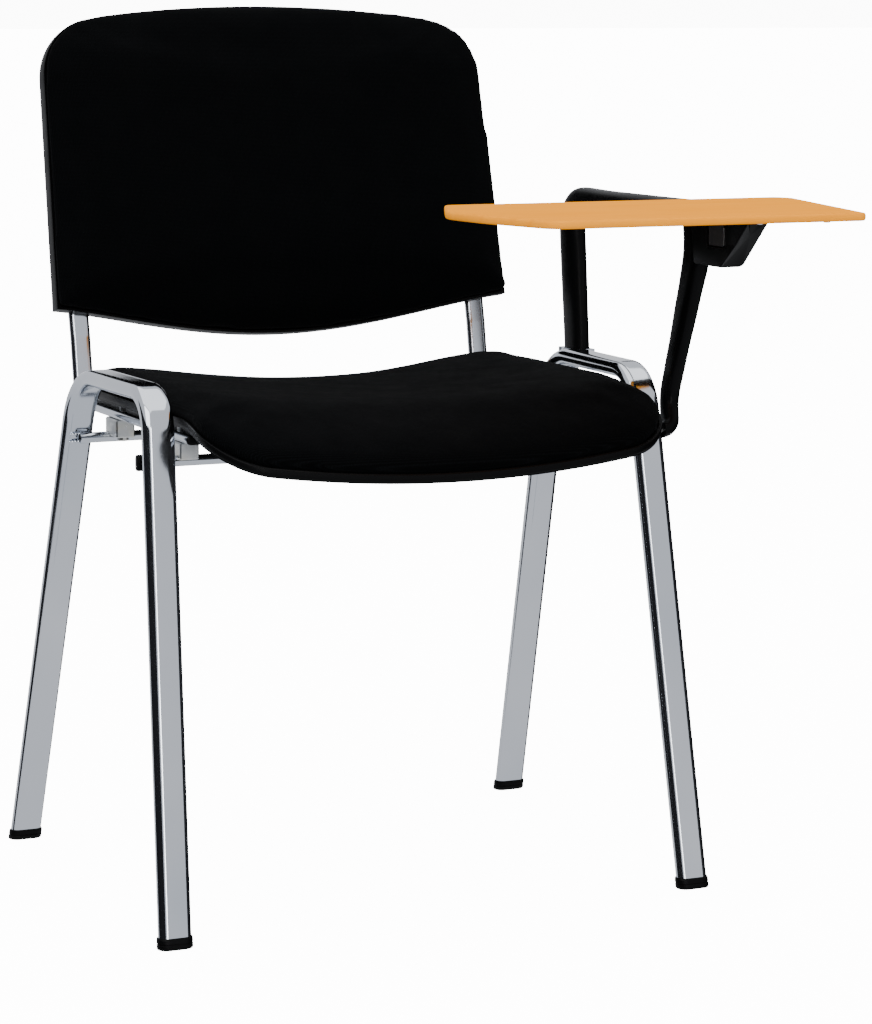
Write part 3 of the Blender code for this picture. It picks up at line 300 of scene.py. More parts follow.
# ------------------------------------------------------------- mesh building
def finish_piece(name, mesh_data, material, replaces=(), body="chair", angle=SMOOTH_ANGLE,
                 soft=False):
    """Turn a bmesh in chair coordinates into a riding, painted piece.

    A soft piece isn't finished here, and neither is a cutting tool.
    """
    bmesh.ops.remove_doubles(mesh_data, verts=mesh_data.verts, dist=1e-6)
    bmesh.ops.recalc_face_normals(mesh_data, faces=mesh_data.faces)
    bmesh.ops.translate(mesh_data, verts=mesh_data.verts, vec=ORIGIN)
    mesh = bpy.data.meshes.new(name)
    mesh_data.to_mesh(mesh)
    mesh_data.free()
    mesh.shade_smooth()
    mesh.set_sharp_from_angle(angle=math.radians(angle))
    mesh.materials.append(MATERIALS[material])
    thing = bpy.data.objects.new(name, mesh)
    bpy.context.scene.collection.objects.link(thing)
    if not soft:
        ride_and_name(thing, replaces, body)
    return thing


def ride_and_name(thing, replaces, body="chair"):
    """Attach the piece to the body it rides on and hide the CAD parts it stands for."""
    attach(thing, body)
    if replaces:
        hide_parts(*replaces)


def skin(mesh_data, loops, caps=True):
    """Quads between equal loops; the end loops are closed with fans."""
    rows = [[mesh_data.verts.new(point) for point in loop] for loop in loops]
    for low, high in zip(rows, rows[1:]):
        count = len(low)
        for i in range(count):
            j = (i + 1) % count
            mesh_data.faces.new((low[i], low[j], high[j], high[i]))
    if caps:
        for row in (rows[0], rows[-1]):
            close(mesh_data, row)
    return rows


def close(mesh_data, row):
    """Fan from the loop's middle."""
    hub = mesh_data.verts.new(sum((v.co for v in row), Vector()) / len(row))
    for i in range(len(row)):
        mesh_data.faces.new((row[i], row[(i + 1) % len(row)], hub))


def loft(name, loops, material, replaces=(), body="chair", angle=SMOOTH_ANGLE, soft=False):
    mesh_data = bmesh.new()
    skin(mesh_data, loops)
    return finish_piece(name, mesh_data, material, replaces, body, angle, soft)


def stadium(wide, thin, per_end=12):
    """Flat oval with extra points beside the flats, so they shade flat."""
    radius = thin / 2
    shift = wide / 2 - radius
    points = []
    for side in (1, -1):
        for i in range(per_end):
            angle = -math.pi / 2 + math.pi * i / (per_end - 1)
            points.append((side * (shift + radius * math.cos(angle)),
                           side * radius * math.sin(angle)))
        for share in (0.12, 0.5, 0.88):
            points.append((side * shift * (1 - 2 * share), side * radius))
    return points


def oval(wide, thin, power=2.6, count=40):
    """Superellipse; a higher power gives squarer corners."""
    points = []
    for i in range(count):
        angle = 2 * math.pi * i / count
        c, s = math.cos(angle), math.sin(angle)
        points.append((math.copysign(abs(c) ** (2 / power), c) * wide / 2,
                       math.copysign(abs(s) ** (2 / power), s) * thin / 2))
    return points


def circle(radius, count=24):
    return [(radius * math.cos(2 * math.pi * i / count), radius * math.sin(2 * math.pi * i / count))
            for i in range(count)]


def rounded(corners, radii, closed=False, step=math.radians(3)):
    """Path through the corners with each one rounded to its radius."""
    corners = [Vector(corner) for corner in corners]
    total = len(corners)
    path = []
    for i, corner in enumerate(corners):
        back = (corners[i - 1] - corner).normalized()
        ahead = (corners[(i + 1) % total] - corner).normalized()
        end = not closed and i in (0, total - 1)
        bend = 0.0 if end else math.pi - back.angle(ahead)
        if end or radii[i] <= 0 or bend < 1e-4:
            path.append(corner)
            continue
        reach = radii[i] * math.tan(bend / 2)
        centre = corner + (back + ahead).normalized() * (radii[i] / math.cos(bend / 2))
        first, last = corner + back * reach - centre, corner + ahead * reach - centre
        count = max(2, math.ceil(bend / step))
        for k in range(count + 1):
            t = k / count
            path.append(centre + first * (math.sin((1 - t) * bend) / math.sin(bend))
                        + last * (math.sin(t * bend) / math.sin(bend)))
    return path


def densify(path, longest):
    """Add points so that no step is longer than the given length."""
    result = []
    for one, two in zip(path, path[1:]):
        pieces = max(1, math.ceil((two - one).length / longest))
        result += [one.lerp(two, k / pieces) for k in range(pieces)]
    return result + [path[-1]]


def tangents(path):
    result = []
    for i, point in enumerate(path):
        one = (point - path[i - 1]).normalized() if i else (path[1] - point).normalized()
        two = (path[i + 1] - point).normalized() if i < len(path) - 1 else one
        result.append((one + two).normalized())
    return result


def shares(path):
    """Each point's distance along the path, from 0 to 1."""
    lengths = [0.0]
    for one, two in zip(path, path[1:]):
        lengths.append(lengths[-1] + (two - one).length)
    return [length / lengths[-1] for length in lengths]


def sweep_loops(path, section):
    """Copies of the section along the path, its wide way across the chair."""
    across = Vector((1, 0, 0))
    loops = []
    for point, along in zip(path, tangents(path)):
        wide = (across - along * across.dot(along)).normalized()
        thin = along.cross(wide)
        loops.append([point + wide * a + thin * b for a, b in section])
    return loops


def flatten_end(loop, along, level):
    """Slide the loop's points along the tube to one height."""
    return [point + along * ((level - point.z) / along.z) for point in loop]


def boolean(target, tool):
    """Cut the tool out of the target and remove it."""
    modifier = target.modifiers.new("cut", "BOOLEAN")
    modifier.operation = "DIFFERENCE"
    modifier.solver = "EXACT"
    modifier.object = tool
    bpy.context.view_layer.update()
    result = bpy.data.meshes.new_from_object(
        target.evaluated_get(bpy.context.evaluated_depsgraph_get()))
    target.modifiers.clear()
    target.data = result
    result.shade_smooth()
    result.set_sharp_from_angle(angle=math.radians(SMOOTH_ANGLE))
    bpy.data.objects.remove(tool)


def drill(target, start, end, radius):
    start, end = Vector(start), Vector(end)
    turn = (end - start).to_track_quat("Z", "Y").to_matrix()
    loops = [[start + turn @ Vector((a, b, along)) for a, b in circle(radius)]
             for along in (0, (end - start).length)]
    boolean(target, loft("tool", loops, "zinc", soft=True))


# ------------------------------------------------------------------ side frames
def leg_points(side):
    crest = ARCH_TOP - TUBE_THIN / 2
    corners = ((FRONT_FOOT[0], FRONT_FOOT[1], 0.0),
               (FRONT_X, FRONT_FOOT[1] + FRONT_LEAN * crest, crest),
               (REAR_X, REAR_FOOT[1] + REAR_LEAN * crest, crest),
               (REAR_FOOT[0], REAR_FOOT[1], 0.0))
    return [Vector((side * x, y, z)) for x, y, z in corners]


def at_level(low, high, level):
    return low + (high - low) * ((level - low.z) / (high.z - low.z))


def make_side_frame(label, side):
    front, front_top, rear_top, rear = leg_points(side)
    level = SHOE_SOLE + GAP
    path = densify(rounded([at_level(front, front_top, level), front_top, rear_top,
                            at_level(rear, rear_top, level)],
                           [0, FRONT_BEND, REAR_BEND, 0]), 0.03)
    loops = sweep_loops(path, stadium(TUBE_WIDE, TUBE_THIN))
    along = tangents(path)
    for end in (0, -1):
        loops[end] = flatten_end(loops[end], along[end], level)
    frame_piece = loft("frame_" + label, loops, "chrome", ["side_frame_" + label])
    if side > 0:
        cut, reach = hook_face(-1), 0.004
        drill(frame_piece, (cut - reach, HOOK_Y, HOOK_Z), (cut + reach, HOOK_Y, HOOK_Z),
              HOOK_HOLE)


def make_shoe(name, foot, top):
    """Shoe with a rounded sole, a fine groove and a soft lip around the leg."""
    along = (top - foot).normalized()
    wide = (Vector((1, 0, 0)) - along * along.x).normalized()
    thin = along.cross(wide)
    wall = SHOE_WALL + GAP

    def ring(level, grow):
        section = stadium(TUBE_WIDE + 2 * grow, TUBE_THIN + 2 * grow)
        return flatten_end([foot + wide * a + thin * b for a, b in section], along, level)

    profile = [(0.0, wall - 0.0030), (0.0, wall - 0.0014), (0.0003, wall - 0.0006),
               (0.0012, wall), (0.0042, wall + 0.0001), (0.0047, wall - 0.0004),
               (0.0053, wall - 0.0004), (0.0058, wall + 0.0001), (SHOE_HEIGHT - 0.0022, wall),
               (SHOE_HEIGHT - 0.0007, wall - 0.0003), (SHOE_HEIGHT, wall - 0.0010),
               (SHOE_HEIGHT, GAP), (SHOE_HEIGHT - 0.002, GAP - 0.0002)]
    loft("shoe_" + name, [ring(level, grow) for level, grow in profile], "black_plastic",
         ["foot_" + name])


def leg_x(foot, level):
    crest = ARCH_TOP - TUBE_THIN / 2
    top = FRONT_X if foot == FRONT_FOOT else REAR_X
    return foot[0] + (top - foot[0]) * level / crest


def cross_y(foot, lean, level, behind):
    """Middle of a cross tube that lies against the leg, in front or behind."""
    half = TUBE_THIN / 2 * math.hypot(1.0, lean)
    return foot[1] + lean * level + behind * (half + CROSS_RADIUS + 2 * GAP)


FRONT_CROSS_Y = cross_y(FRONT_FOOT, FRONT_LEAN, FRONT_CROSS_Z, 1)
REAR_CROSS_Y = cross_y(REAR_FOOT, REAR_LEAN, REAR_CROSS_Z, -1)


def make_cross_tubes():
    inner, outer, edge = CROSS_RADIUS - CROSS_WALL, CROSS_RADIUS, CROSS_EDGE
    for name, half, y, z in (
            ("cross_tube_front", CAP_END_X - CAP_LENGTH - GAP, FRONT_CROSS_Y, FRONT_CROSS_Z),
            ("cross_tube_rear", REAR_X + REAR_CROSS_PAST, REAR_CROSS_Y, REAR_CROSS_Z)):
        profile = ((-half + CROSS_BORE, inner), (-half, inner), (-half, outer - edge),
                   (-half + edge, outer), (half - edge, outer), (half, outer - edge),
                   (half, inner), (half - CROSS_BORE, inner))
        loops = [[Vector((x, y + a, z + b)) for a, b in circle(radius, 32)]
                 for x, radius in profile]
        loft(name + "_bar", loops, "chrome", [name])


def make_caps():
    head, edge, wide, tall, square = CAP_END_X - CAP_LENGTH, CAP_EDGE, CAP_WIDE, CAP_TALL, 3.4
    for label, side in (("left", 1), ("right", -1)):
        stations = [(head, wide - edge, tall - edge, 3.2), (head, wide, tall, square)]
        for i in range(6):
            angle = math.pi / 2 * i / 5
            shrink_by = 2 * edge * (1 - math.cos(angle))
            stations.append((CAP_END_X - edge + edge * math.sin(angle), wide - shrink_by,
                             tall - shrink_by, square))
        loops = [[Vector((side * x, FRONT_CROSS_Y + a, FRONT_CROSS_Z + b))
                  for a, b in oval(w, h, power)] for x, w, h, power in stations]
        loft("end_cap_" + label, loops, "black_plastic", ["tube_cap_" + label])


def make_welds():
    """Short rippled beads where the cross tubes lie against the legs."""
    mesh_data = bmesh.new()
    for foot, lean, z, y, behind in ((FRONT_FOOT, FRONT_LEAN, FRONT_CROSS_Z, FRONT_CROSS_Y, 1),
                                     (REAR_FOOT, REAR_LEAN, REAR_CROSS_Z, REAR_CROSS_Y, -1)):
        for side in (1, -1):
            middle = side * leg_x(foot, z)
            for up in (1, -1):
                y_bead = y - behind * (CROSS_RADIUS * 0.80) + up * lean * 0.0028
                loops = []
                for i in range(BEAD_POINTS):
                    point = Vector((middle + BEAD_HALF * (2 * i / (BEAD_POINTS - 1) - 1),
                                    y_bead, z + up * 0.0036))
                    swell = math.sin(math.pi * (i + 0.6) / (BEAD_POINTS + 0.2)) ** 0.4
                    radius = (BEAD_RADIUS + BEAD_RIPPLE * math.sin(i * 2.1)) * swell
                    loops.append([point + Vector((0, a, b)) for a, b in circle(radius, 12)])
                skin(mesh_data, loops)
    finish_piece("weld_beads", mesh_data, "chrome", angle=60)


# --------------------------------------------------------------- back uprights
def back_point(x, t, n):
    """Point of the leaning backrest: t up along it and n behind it."""
    up = Vector((0, math.sin(BACK_LEAN), math.cos(BACK_LEAN)))
    behind = Vector((0, math.cos(BACK_LEAN), -math.sin(BACK_LEAN)))
    return Vector((x, BACK_Y, BACK_Z)) + up * t + behind * n


def back_sag(x):
    return BACK_SAG * (1 - (x / BACK_HALF_BOTTOM) ** 2)


def upright_points(side, stretch=0.0):
    """Corners of an upright: front of its run, foot, knee and top."""
    x = side * UPRIGHT_X
    depth = (back_sag(UPRIGHT_X - 0.46 * UPRIGHT_WIDE) + BACK_BOARD + 3 * GAP
             + UPRIGHT_THIN / 2)
    top, low = back_point(x, UPRIGHT_REACH + stretch, depth), back_point(x, 0.0, depth)
    up = (top - low).normalized()
    knee = low + up * ((KNEE_Z - low.z) / up.z)
    return Vector((x, RUN_FRONT_Y, RUN_Z)), Vector((x, UPRIGHT_FOOT_Y, RUN_Z)), knee, top


def make_uprights():
    for label, side in (("left", 1), ("right", -1)):
        path = densify(rounded(upright_points(side), [0, UPRIGHT_BEND, KNEE_BEND, 0]), 0.03)
        loops = sweep_loops(path, stadium(UPRIGHT_WIDE, UPRIGHT_THIN, 10))
        loft("upright_" + label, loops, "chrome", ["back_upright_" + label])
        x, face = side * UPRIGHT_X, RUN_FRONT_Y - GAP
        stations = [(face, 0.0), (face - 0.0008, 0.0), (face - 0.0016, 0.0005),
                    (face - 0.0021, 0.0014), (face - 0.0022, 0.0026)]
        plug = [[Vector((x + a, y, RUN_Z + b))
                 for a, b in stadium(UPRIGHT_WIDE - 2 * inset, UPRIGHT_THIN - 2 * inset)]
                for y, inset in stations]
        loft("run_plug_" + label, plug, "black_plastic", ["upright_plug_" + label])


# ------------------------------------------------------------ back and seat forms
def shrink(points, scale, centre):
    return [(centre[0] + (x - centre[0]) * scale, centre[1] + (y - centre[1]) * scale)
            for x, y in points]


def back_outline(inset=0.0, drop=0.0, steps=48):
    """Closed outline in (x, t): bellied bottom, sharp corners, round shoulders."""
    low, high = BACK_HALF_BOTTOM - inset, BACK_HALF_TOP - inset
    top, base = BACK_HEIGHT - inset, inset - drop
    points = []
    for i in range(steps + 1):
        x = -low + 2 * low * i / steps
        hang = max(math.cos(math.pi * x / (2 * low)), 0.0) ** 1.3
        points.append((x, base - BACK_BELLY * hang))
    right = rounded([(low, base, 0), (high, top - BACK_CROWN, 0), (0, top + BACK_CROWN * 0.6, 0)],
                    [0, BACK_SHOULDER, 0], step=math.radians(5))
    curve = [(p.x, p.y) for p in right[1:-1]]
    curve = [(x, min(y, top - BACK_CROWN * (x / high) ** 2)) for x, y in curve]
    side_steps = 14
    side = [(low + (curve[0][0] - low) * i / side_steps,
             base + (curve[0][1] - base) * i / side_steps) for i in range(1, side_steps)]
    points += side + curve
    reach, top_steps = curve[-1][0], 22
    for i in range(1, top_steps):
        x = reach - 2 * reach * i / top_steps
        points.append((x, top - BACK_CROWN * (x / high) ** 2))
    points += [(-x, y) for x, y in reversed(curve)] + [(-x, y) for x, y in reversed(side)]
    return points


def back_loop(points, depth):
    """Outline on the hollow of the backrest, at one depth behind it."""
    return [back_point(x, t, back_sag(x) + depth) for x, t in points]


def smooth_keys(keys, count):
    """Sample (a, b) keys on a Catmull-Rom curve."""
    result = []
    for i in range(len(keys) - 1):
        k = [Vector((*keys[max(0, min(len(keys) - 1, i + j))], 0)) for j in (-1, 0, 1, 2)]
        for step in range(count):
            t = step / count
            point = 0.5 * ((2 * k[1]) + (k[2] - k[0]) * t
                           + (2 * k[0] - 5 * k[1] + 4 * k[2] - k[3]) * t * t
                           + (3 * k[1] - k[0] - 3 * k[2] + k[3]) * t ** 3)
            result.append((point.x, point.y))
    return result + [keys[-1]]


def make_back_cushion():
    outline = back_outline(CUSHION_INSET)
    edge, crown = BACK_FOAM_EDGE, BACK_FOAM_MID
    keys = [(0.978, 0.0), (0.992, 0.08 * edge), (1.0, 0.35 * edge), (1.0, 0.72 * edge),
            (0.985, 1.10 * edge), (0.935, 0.58 * crown), (0.84, 0.80 * crown),
            (0.66, 0.93 * crown), (0.36, 0.99 * crown), (0.12, crown)]
    under = BACK_BOARD - 0.002
    loops = [back_loop(shrink(outline, scale, BACK_MIDDLE), under)
             for scale in (0.3, 0.7, 0.955)]
    loops.append(back_loop(shrink(outline, 0.972, BACK_MIDDLE), under - 0.0015))
    for scale, depth in smooth_keys(keys, 4):
        loops.append(back_loop(shrink(outline, scale, BACK_MIDDLE), -GAP - depth))
    thing = loft("back_pad", loops, "back_fabric", soft=True)
    normal = back_point(0, 0, 1) - back_point(0, 0, 0)

    def hold(point):
        x, y, z = point - ORIGIN
        depth = (Vector((x, y, z)) - Vector((x, BACK_Y, BACK_Z))).dot(normal) - back_sag(x)
        return depth > -BACK_HELD

    inflate(thing, hold, "back_fabric", ["back_cushion", "back_board"])


def seat_under(x, y):
    """Height of the board's underside: dished across, falling at the front."""
    across = min(abs(x) / UPRIGHT_X, 1.06)
    dish, fall = SEAT_DISH, 0.0
    if y < FALL_START:
        share = (FALL_START - y) / (FALL_START - SEAT_FRONT)
        dish -= SEAT_LEVEL * min(share, 1.0) ** 2
        fall = SEAT_FALL * share ** 2
    return SEAT_EDGE_Z - dish * (1 - across ** 2) - fall


def seat_outline(inset=0.0):
    half = SEAT_HALF - inset
    front, rear = SEAT_FRONT + inset, SEAT_REAR - inset
    wide = half + SEAT_FLARE
    path = rounded([(-half, rear, 0), (-half, FLARE_START, 0), (-wide, front, 0),
                    (wide, front, 0), (half, FLARE_START, 0), (half, rear, 0)],
                   [SEAT_REAR_CORNER - inset / 2, 0, SEAT_FRONT_CORNER - inset / 2,
                    SEAT_FRONT_CORNER - inset / 2, 0, SEAT_REAR_CORNER - inset / 2],
                   closed=True, step=math.radians(5))
    points = []
    for here in densify(path + [path[0]], 0.012)[:-1]:
        bow = SEAT_BOW * (1 - (here.x / half) ** 2)
        points.append((here.x, here.y - bow if here.y < 0 and abs(here.x) < half else here.y))
    return points


def seat_loop(points, lift):
    return [Vector((x, y, seat_under(x, y) + lift)) for x, y in points]


def make_seat_cushion():
    outline = seat_outline(CUSHION_INSET)
    base = BOARD_THICK + GAP
    edge, crown = SEAT_FOAM_EDGE, SEAT_FOAM_MID
    keys = [(0.984, -0.002), (0.995, 0.06 * edge), (1.0, 0.25 * edge), (1.0, 0.55 * edge),
            (0.986, 0.92 * edge), (0.955, 0.40 * edge + 0.42 * crown), (0.88, 0.86 * crown),
            (0.72, 0.97 * crown), (0.40, crown), (0.12, crown)]
    loops = [seat_loop(shrink(outline, scale, SEAT_MIDDLE), GAP)
             for scale in (0.3, 0.6, 0.85, 0.965)]
    loops.append(seat_loop(shrink(outline, 0.978, SEAT_MIDDLE), 0.0015))
    for scale, lift in smooth_keys(keys, 4):
        loops.append(seat_loop(shrink(outline, scale, SEAT_MIDDLE), base + lift))
    thing = loft("seat_pad", loops, "seat_fabric", soft=True)

    def hold(point):
        x, y, z = point - ORIGIN
        return z - seat_under(x, y) < base + SEAT_HELD

    inflate(thing, hold, "seat_fabric", ["seat_cushion", "seat_board"])


def inflate(thing, hold, material, replaces):
    """Remesh, blow up a little with cloth, hold the stapled edge and smooth."""
    scene = bpy.context.scene
    remesh = thing.modifiers.new("remesh", "REMESH")
    remesh.mode = "VOXEL"
    remesh.voxel_size = CUSHION_VOXEL
    apply_modifiers(thing)
    rest = [vert.co.copy() for vert in thing.data.vertices]
    group = thing.vertex_groups.new(name="held")
    group.add([i for i, point in enumerate(rest) if hold(point)], 1.0, "REPLACE")
    cloth = thing.modifiers.new("cloth", "CLOTH")
    cloth.settings.use_pressure = True
    cloth.settings.uniform_pressure_force = CUSHION_PRESSURE
    cloth.settings.effector_weights.gravity = 0.0
    cloth.settings.vertex_group_mass = "held"
    cloth.settings.quality = 5
    cloth.point_cache.frame_start = 1
    cloth.point_cache.frame_end = CLOTH_FRAMES
    for number in range(1, CLOTH_FRAMES + 1):
        scene.frame_set(number)
    apply_modifiers(thing)
    for vert, point in zip(thing.data.vertices, rest):
        move = vert.co - point
        if move.length > CUSHION_SWELL:
            vert.co = point + move.normalized() * CUSHION_SWELL
    scene.frame_set(1)
    smooth_vertices(thing, SMOOTH_ROUNDS)
    thing.vertex_groups.clear()
    refine = thing.modifiers.new("refine", "SUBSURF")
    refine.levels = refine.render_levels = 1
    thing.data.materials.clear()
    thing.data.materials.append(MATERIALS[material])
    thing.data.shade_smooth()
    ride_and_name(thing, replaces)


def apply_modifiers(thing):
    bpy.context.view_layer.update()
    result = bpy.data.meshes.new_from_object(
        thing.evaluated_get(bpy.context.evaluated_depsgraph_get()))
    thing.modifiers.clear()
    thing.data = result


def smooth_vertices(thing, rounds):
    mesh_data = bmesh.new()
    mesh_data.from_mesh(thing.data)
    for _ in range(rounds):
        bmesh.ops.smooth_vert(mesh_data, verts=mesh_data.verts, factor=0.5, use_axis_x=True,
                              use_axis_y=True, use_axis_z=True)
    mesh_data.to_mesh(thing.data)
    mesh_data.free()


def tray(name, outside, inside, material, replaces):
    """Open shell of two skins, joined at the rim and closed at the middles."""
    mesh_data = bmesh.new()
    outer = skin(mesh_data, outside, caps=False)
    inner = skin(mesh_data, inside, caps=False)
    count = len(outer[0])
    for i in range(count):
        j = (i + 1) % count
        mesh_data.faces.new((outer[0][i], outer[0][j], inner[0][j], inner[0][i]))
    close(mesh_data, outer[-1])
    close(mesh_data, inner[-1])
    return finish_piece(name, mesh_data, material, replaces)


def make_back_shell():
    rim = back_outline(inset=0.0015, drop=0.002)
    deep, wall = BACK_SHELL_DEPTH, BACK_SHELL
    outside = smooth_keys([(0.996, GAP), (1.0, 0.0012), (1.0, BACK_BOARD + 0.004),
                           (0.995, 0.78 * deep), (0.981, 0.94 * deep), (0.955, 0.995 * deep),
                           (0.90, deep), (0.6, deep), (0.3, deep)], 3)
    inside = [(0.984, GAP), (0.978, 0.002), (0.978, BACK_BOARD + 0.003),
              (0.967, 0.93 * deep - wall), (0.945, deep - wall), (0.6, deep - wall),
              (0.3, deep - wall)]
    loops = [[back_loop(shrink(rim, scale, BACK_MIDDLE), depth) for scale, depth in group]
             for group in (outside, inside)]
    shell = tray("back_shell", *loops, "black_plastic", ["back_cover"])
    for side in (1, -1):
        _, _, knee, top = upright_points(side, stretch=0.004)
        clear = 0.0024
        section = stadium(UPRIGHT_WIDE + clear, UPRIGHT_THIN + clear)
        path = [knee - (top - knee) * 0.1, top]
        tool = loft("tool", sweep_loops(path, section), "zinc", soft=True)
        boolean(shell, tool)


def make_seat_shell():
    rim = seat_outline(0.0004)
    under, wall, height = -GAP, SEAT_SHELL, BOARD_THICK - 2 * GAP
    outside = smooth_keys([(0.998, height), (1.0, height - 0.0007), (1.0, 0.0022), (0.995, -0.0006),
                           (0.980, under - wall), (0.85, under - wall), (0.6, under - wall),
                           (0.3, under - wall)], 3)
    inside = [(0.990, height), (0.9878, height - 0.0008), (0.9878, under), (0.85, under),
              (0.6, under), (0.3, under)]
    loops = [[seat_loop(shrink(rim, scale, SEAT_MIDDLE), lift) for scale, lift in group]
             for group in (outside, inside)]
    tray("seat_shell", *loops, "black_plastic", ["seat_cover"])


# ---------------------------------------------------------------------- armrest
def hook_face(direction):
    """Outer (1) or inner (-1) side of the front leg at the hook's height."""
    return leg_x(FRONT_FOOT, HOOK_Z) + direction * (TUBE_WIDE / 2 + 0.0006)


def arm_section(share):
    """Armrest section at one share of its length, eased between the keys."""
    keys = [(0.0, 0.0185, 0.036), (0.17, 0.0195, 0.037), (0.27, 0.0235, 0.024),
            (0.36, 0.0240, 0.022), (0.60, 0.0240, 0.022), (0.655, 0.0220, 0.0235),
            (0.70, 0.0205, 0.030), (0.77, 0.0182, 0.027), (0.86, 0.0163, 0.023),
            (0.92, 0.0158, 0.0215), (0.955, 0.0155, 0.0205), (1.0, 0.0140, 0.0190)]
    for (a, wide_a, thin_a), (b, wide_b, thin_b) in zip(keys, keys[1:]):
        if share <= b + 1e-9:
            t = (share - a) / (b - a)
            t = t * t * (3 - 2 * t)
            return oval(wide_a + (wide_b - wide_a) * t, thin_a + (thin_b - thin_a) * t)


def make_arm():
    top = ARM_TOP - 0.011
    corners = [(ARM_X, ARM_FOOT_Y, ARM_FOOT_Z), (ARM_X, 0.118, top), (ARM_X, -0.143, top),
               (ARM_X, -0.1490, 0.590), (ARM_X, -0.0935, 0.4487), (0.2655, HOOK_Y, 0.4220),
               (hook_face(1), HOOK_Y, HOOK_Z)]
    path = densify(rounded(corners, [0, 0.030, 0.015, 0.060, 0.030, 0.0115, 0],
                           step=math.radians(5)), 0.012)
    loops = []
    for point, along, share in zip(path, tangents(path), shares(path)):
        fore = Vector((0, along.z, -along.y))
        if fore.length < 0.5:
            fore = Vector((0, -1, 0.35))
        fore = (fore - along * fore.dot(along)).normalized()
        wide = fore.cross(along)
        loops.append([point + wide * a + fore * b for a, b in arm_section(share)])
    loops[0] = [Vector((p.x, p.y, ARM_FOOT_Z)) for p in loops[0]]
    loops[-1] = [Vector((hook_face(1), p.y, p.z)) for p in loops[-1]]
    arm = loft("arm_moulding", loops, "arm_plastic", ["armrest"], angle=50)
    for z in ARM_SCREW_LEVELS:
        drill(arm, *[(HINGE_X, y, z) for y in ARM_SCREW_BORE], ARM_SCREW_HOLE)


# ------------------------------------------------------------- hinge and tablet
def make_block():
    """Moulded block ahead of the front post, slanting under the tablet."""
    edge = 0.0025
    reach = BLOCK_TOP - HINGE_Z
    low, high = BLOCK_BOTTOM - HINGE_Z, reach - 0.006
    half = BLOCK_HALF - 0.001
    section = [(-BLOCK_HALF + edge, low), (-BLOCK_HALF + 0.0008, low + 0.0008),
               (-BLOCK_HALF, low + edge), (-BLOCK_HALF, 0.5 * (low + high)), (-BLOCK_HALF, high),
               (-BLOCK_HALF, reach - 0.001), (-BLOCK_HALF + 0.001, reach)]
    start = math.asin(half / reach)
    section += [(reach * math.sin(start * i / 8), reach * math.cos(start * i / 8) - 0.0002)
                for i in range(9)]
    section += [(half, low + edge), (half - 0.0008, low + 0.0008), (half - edge, low)]

    def loop(inset, y_at):
        squeeze = 1 - (1 - inset) * 0.3
        return [Vector((HINGE_X + a * inset, y_at(b), HINGE_Z + b * squeeze)) for a, b in section]

    def rear(b):
        return BLOCK_REAR + BLOCK_RAKE * (b - low)

    def front(b):
        rise = min(max((b - low) / (high - low), 0.0), 1.0)
        return BLOCK_TOE + (BLOCK_NOSE - BLOCK_TOE) * rise ** 0.85

    loops = [loop(0.90, rear), loop(1.0, lambda b: rear(b) - BLOCK_EDGE),
             loop(1.0, lambda b: front(b) + BLOCK_EDGE), loop(0.97, lambda b: front(b) + 0.0004),
             loop(0.90, front)]
    block = loft("block_moulding", loops, "arm_plastic", ["hinge_block"])
    mesh_data = bmesh.new()
    bmesh.ops.create_cube(mesh_data, size=1.0, matrix=Matrix.Translation(
        (HINGE_X, (SLOT_REAR + SLOT_FRONT) / 2, (SLOT_FLOOR + SLOT_TOP) / 2))
        @ Matrix.Diagonal((0.1, SLOT_REAR - SLOT_FRONT, SLOT_TOP - SLOT_FLOOR, 1.0)))
    boolean(block, finish_piece("tool", mesh_data, "zinc", soft=True))
    bevel = block.modifiers.new("edge", "BEVEL")
    bevel.width = 0.0005
    bevel.segments = 2
    bevel.limit_method = "ANGLE"
    bevel.angle_limit = math.radians(32)
    bevel.harden_normals = True


def tablet_outline(inset):
    """Closed outline with softly cut corners, drawn in by the inset."""
    corners = [(0.0155, TABLET_REAR, 0), (-0.0230, -0.240, 0), (-0.0190, -0.305, 0),
               (0.002, TABLET_FRONT, 0), (0.300, TABLET_FRONT, 0), (0.359, -0.170, 0),
               (0.352, TABLET_REAR, 0)]
    path = rounded(corners, [0.010, 0.060, 0.080, 0.020, 0.009, 0.018, 0.012], closed=True,
                   step=math.radians(4))
    count = len(path)
    points = []
    for i, point in enumerate(path):
        along = (path[(i + 1) % count] - path[i - 1]).normalized()
        points.append(point + Vector((-along.y, along.x, 0)) * inset)
    return points


def make_tablet():
    """Laminated board with a rounded edge band set off by a fine line."""
    low, high = TABLET_TOP - TABLET_THICK, TABLET_TOP
    profile = [(0.0050, low), (0.0022, low), (0.0012, low + 0.0002), (0.0004, low + 0.0010),
               (0.0, low + 0.0024), (0.0, high - 0.0024), (0.0004, high - 0.0010),
               (0.0012, high - 0.0002), (0.0020, high), (0.0022, high - 0.00018),
               (0.0024, high), (0.0060, high)]
    loops = [[Vector((p.x, p.y, z)) for p in tablet_outline(inset)] for inset, z in profile]
    loft("tablet_top", loops, "tablet_laminate", ["tablet_board"], body="tablet")


# --------------------------------------------------------------- stage and light
def area_light(name, place, target, size, power):
    data = bpy.data.lights.new(name, "AREA")
    data.shape = "RECTANGLE"
    data.size, data.size_y = size
    data.energy = power
    thing = bpy.data.objects.new(name, data)
    thing.location = place
    direction = Vector(target) - Vector(place)
    thing.rotation_euler = direction.to_track_quat("-Z", "Y").to_euler()
    bpy.context.scene.collection.objects.link(thing)


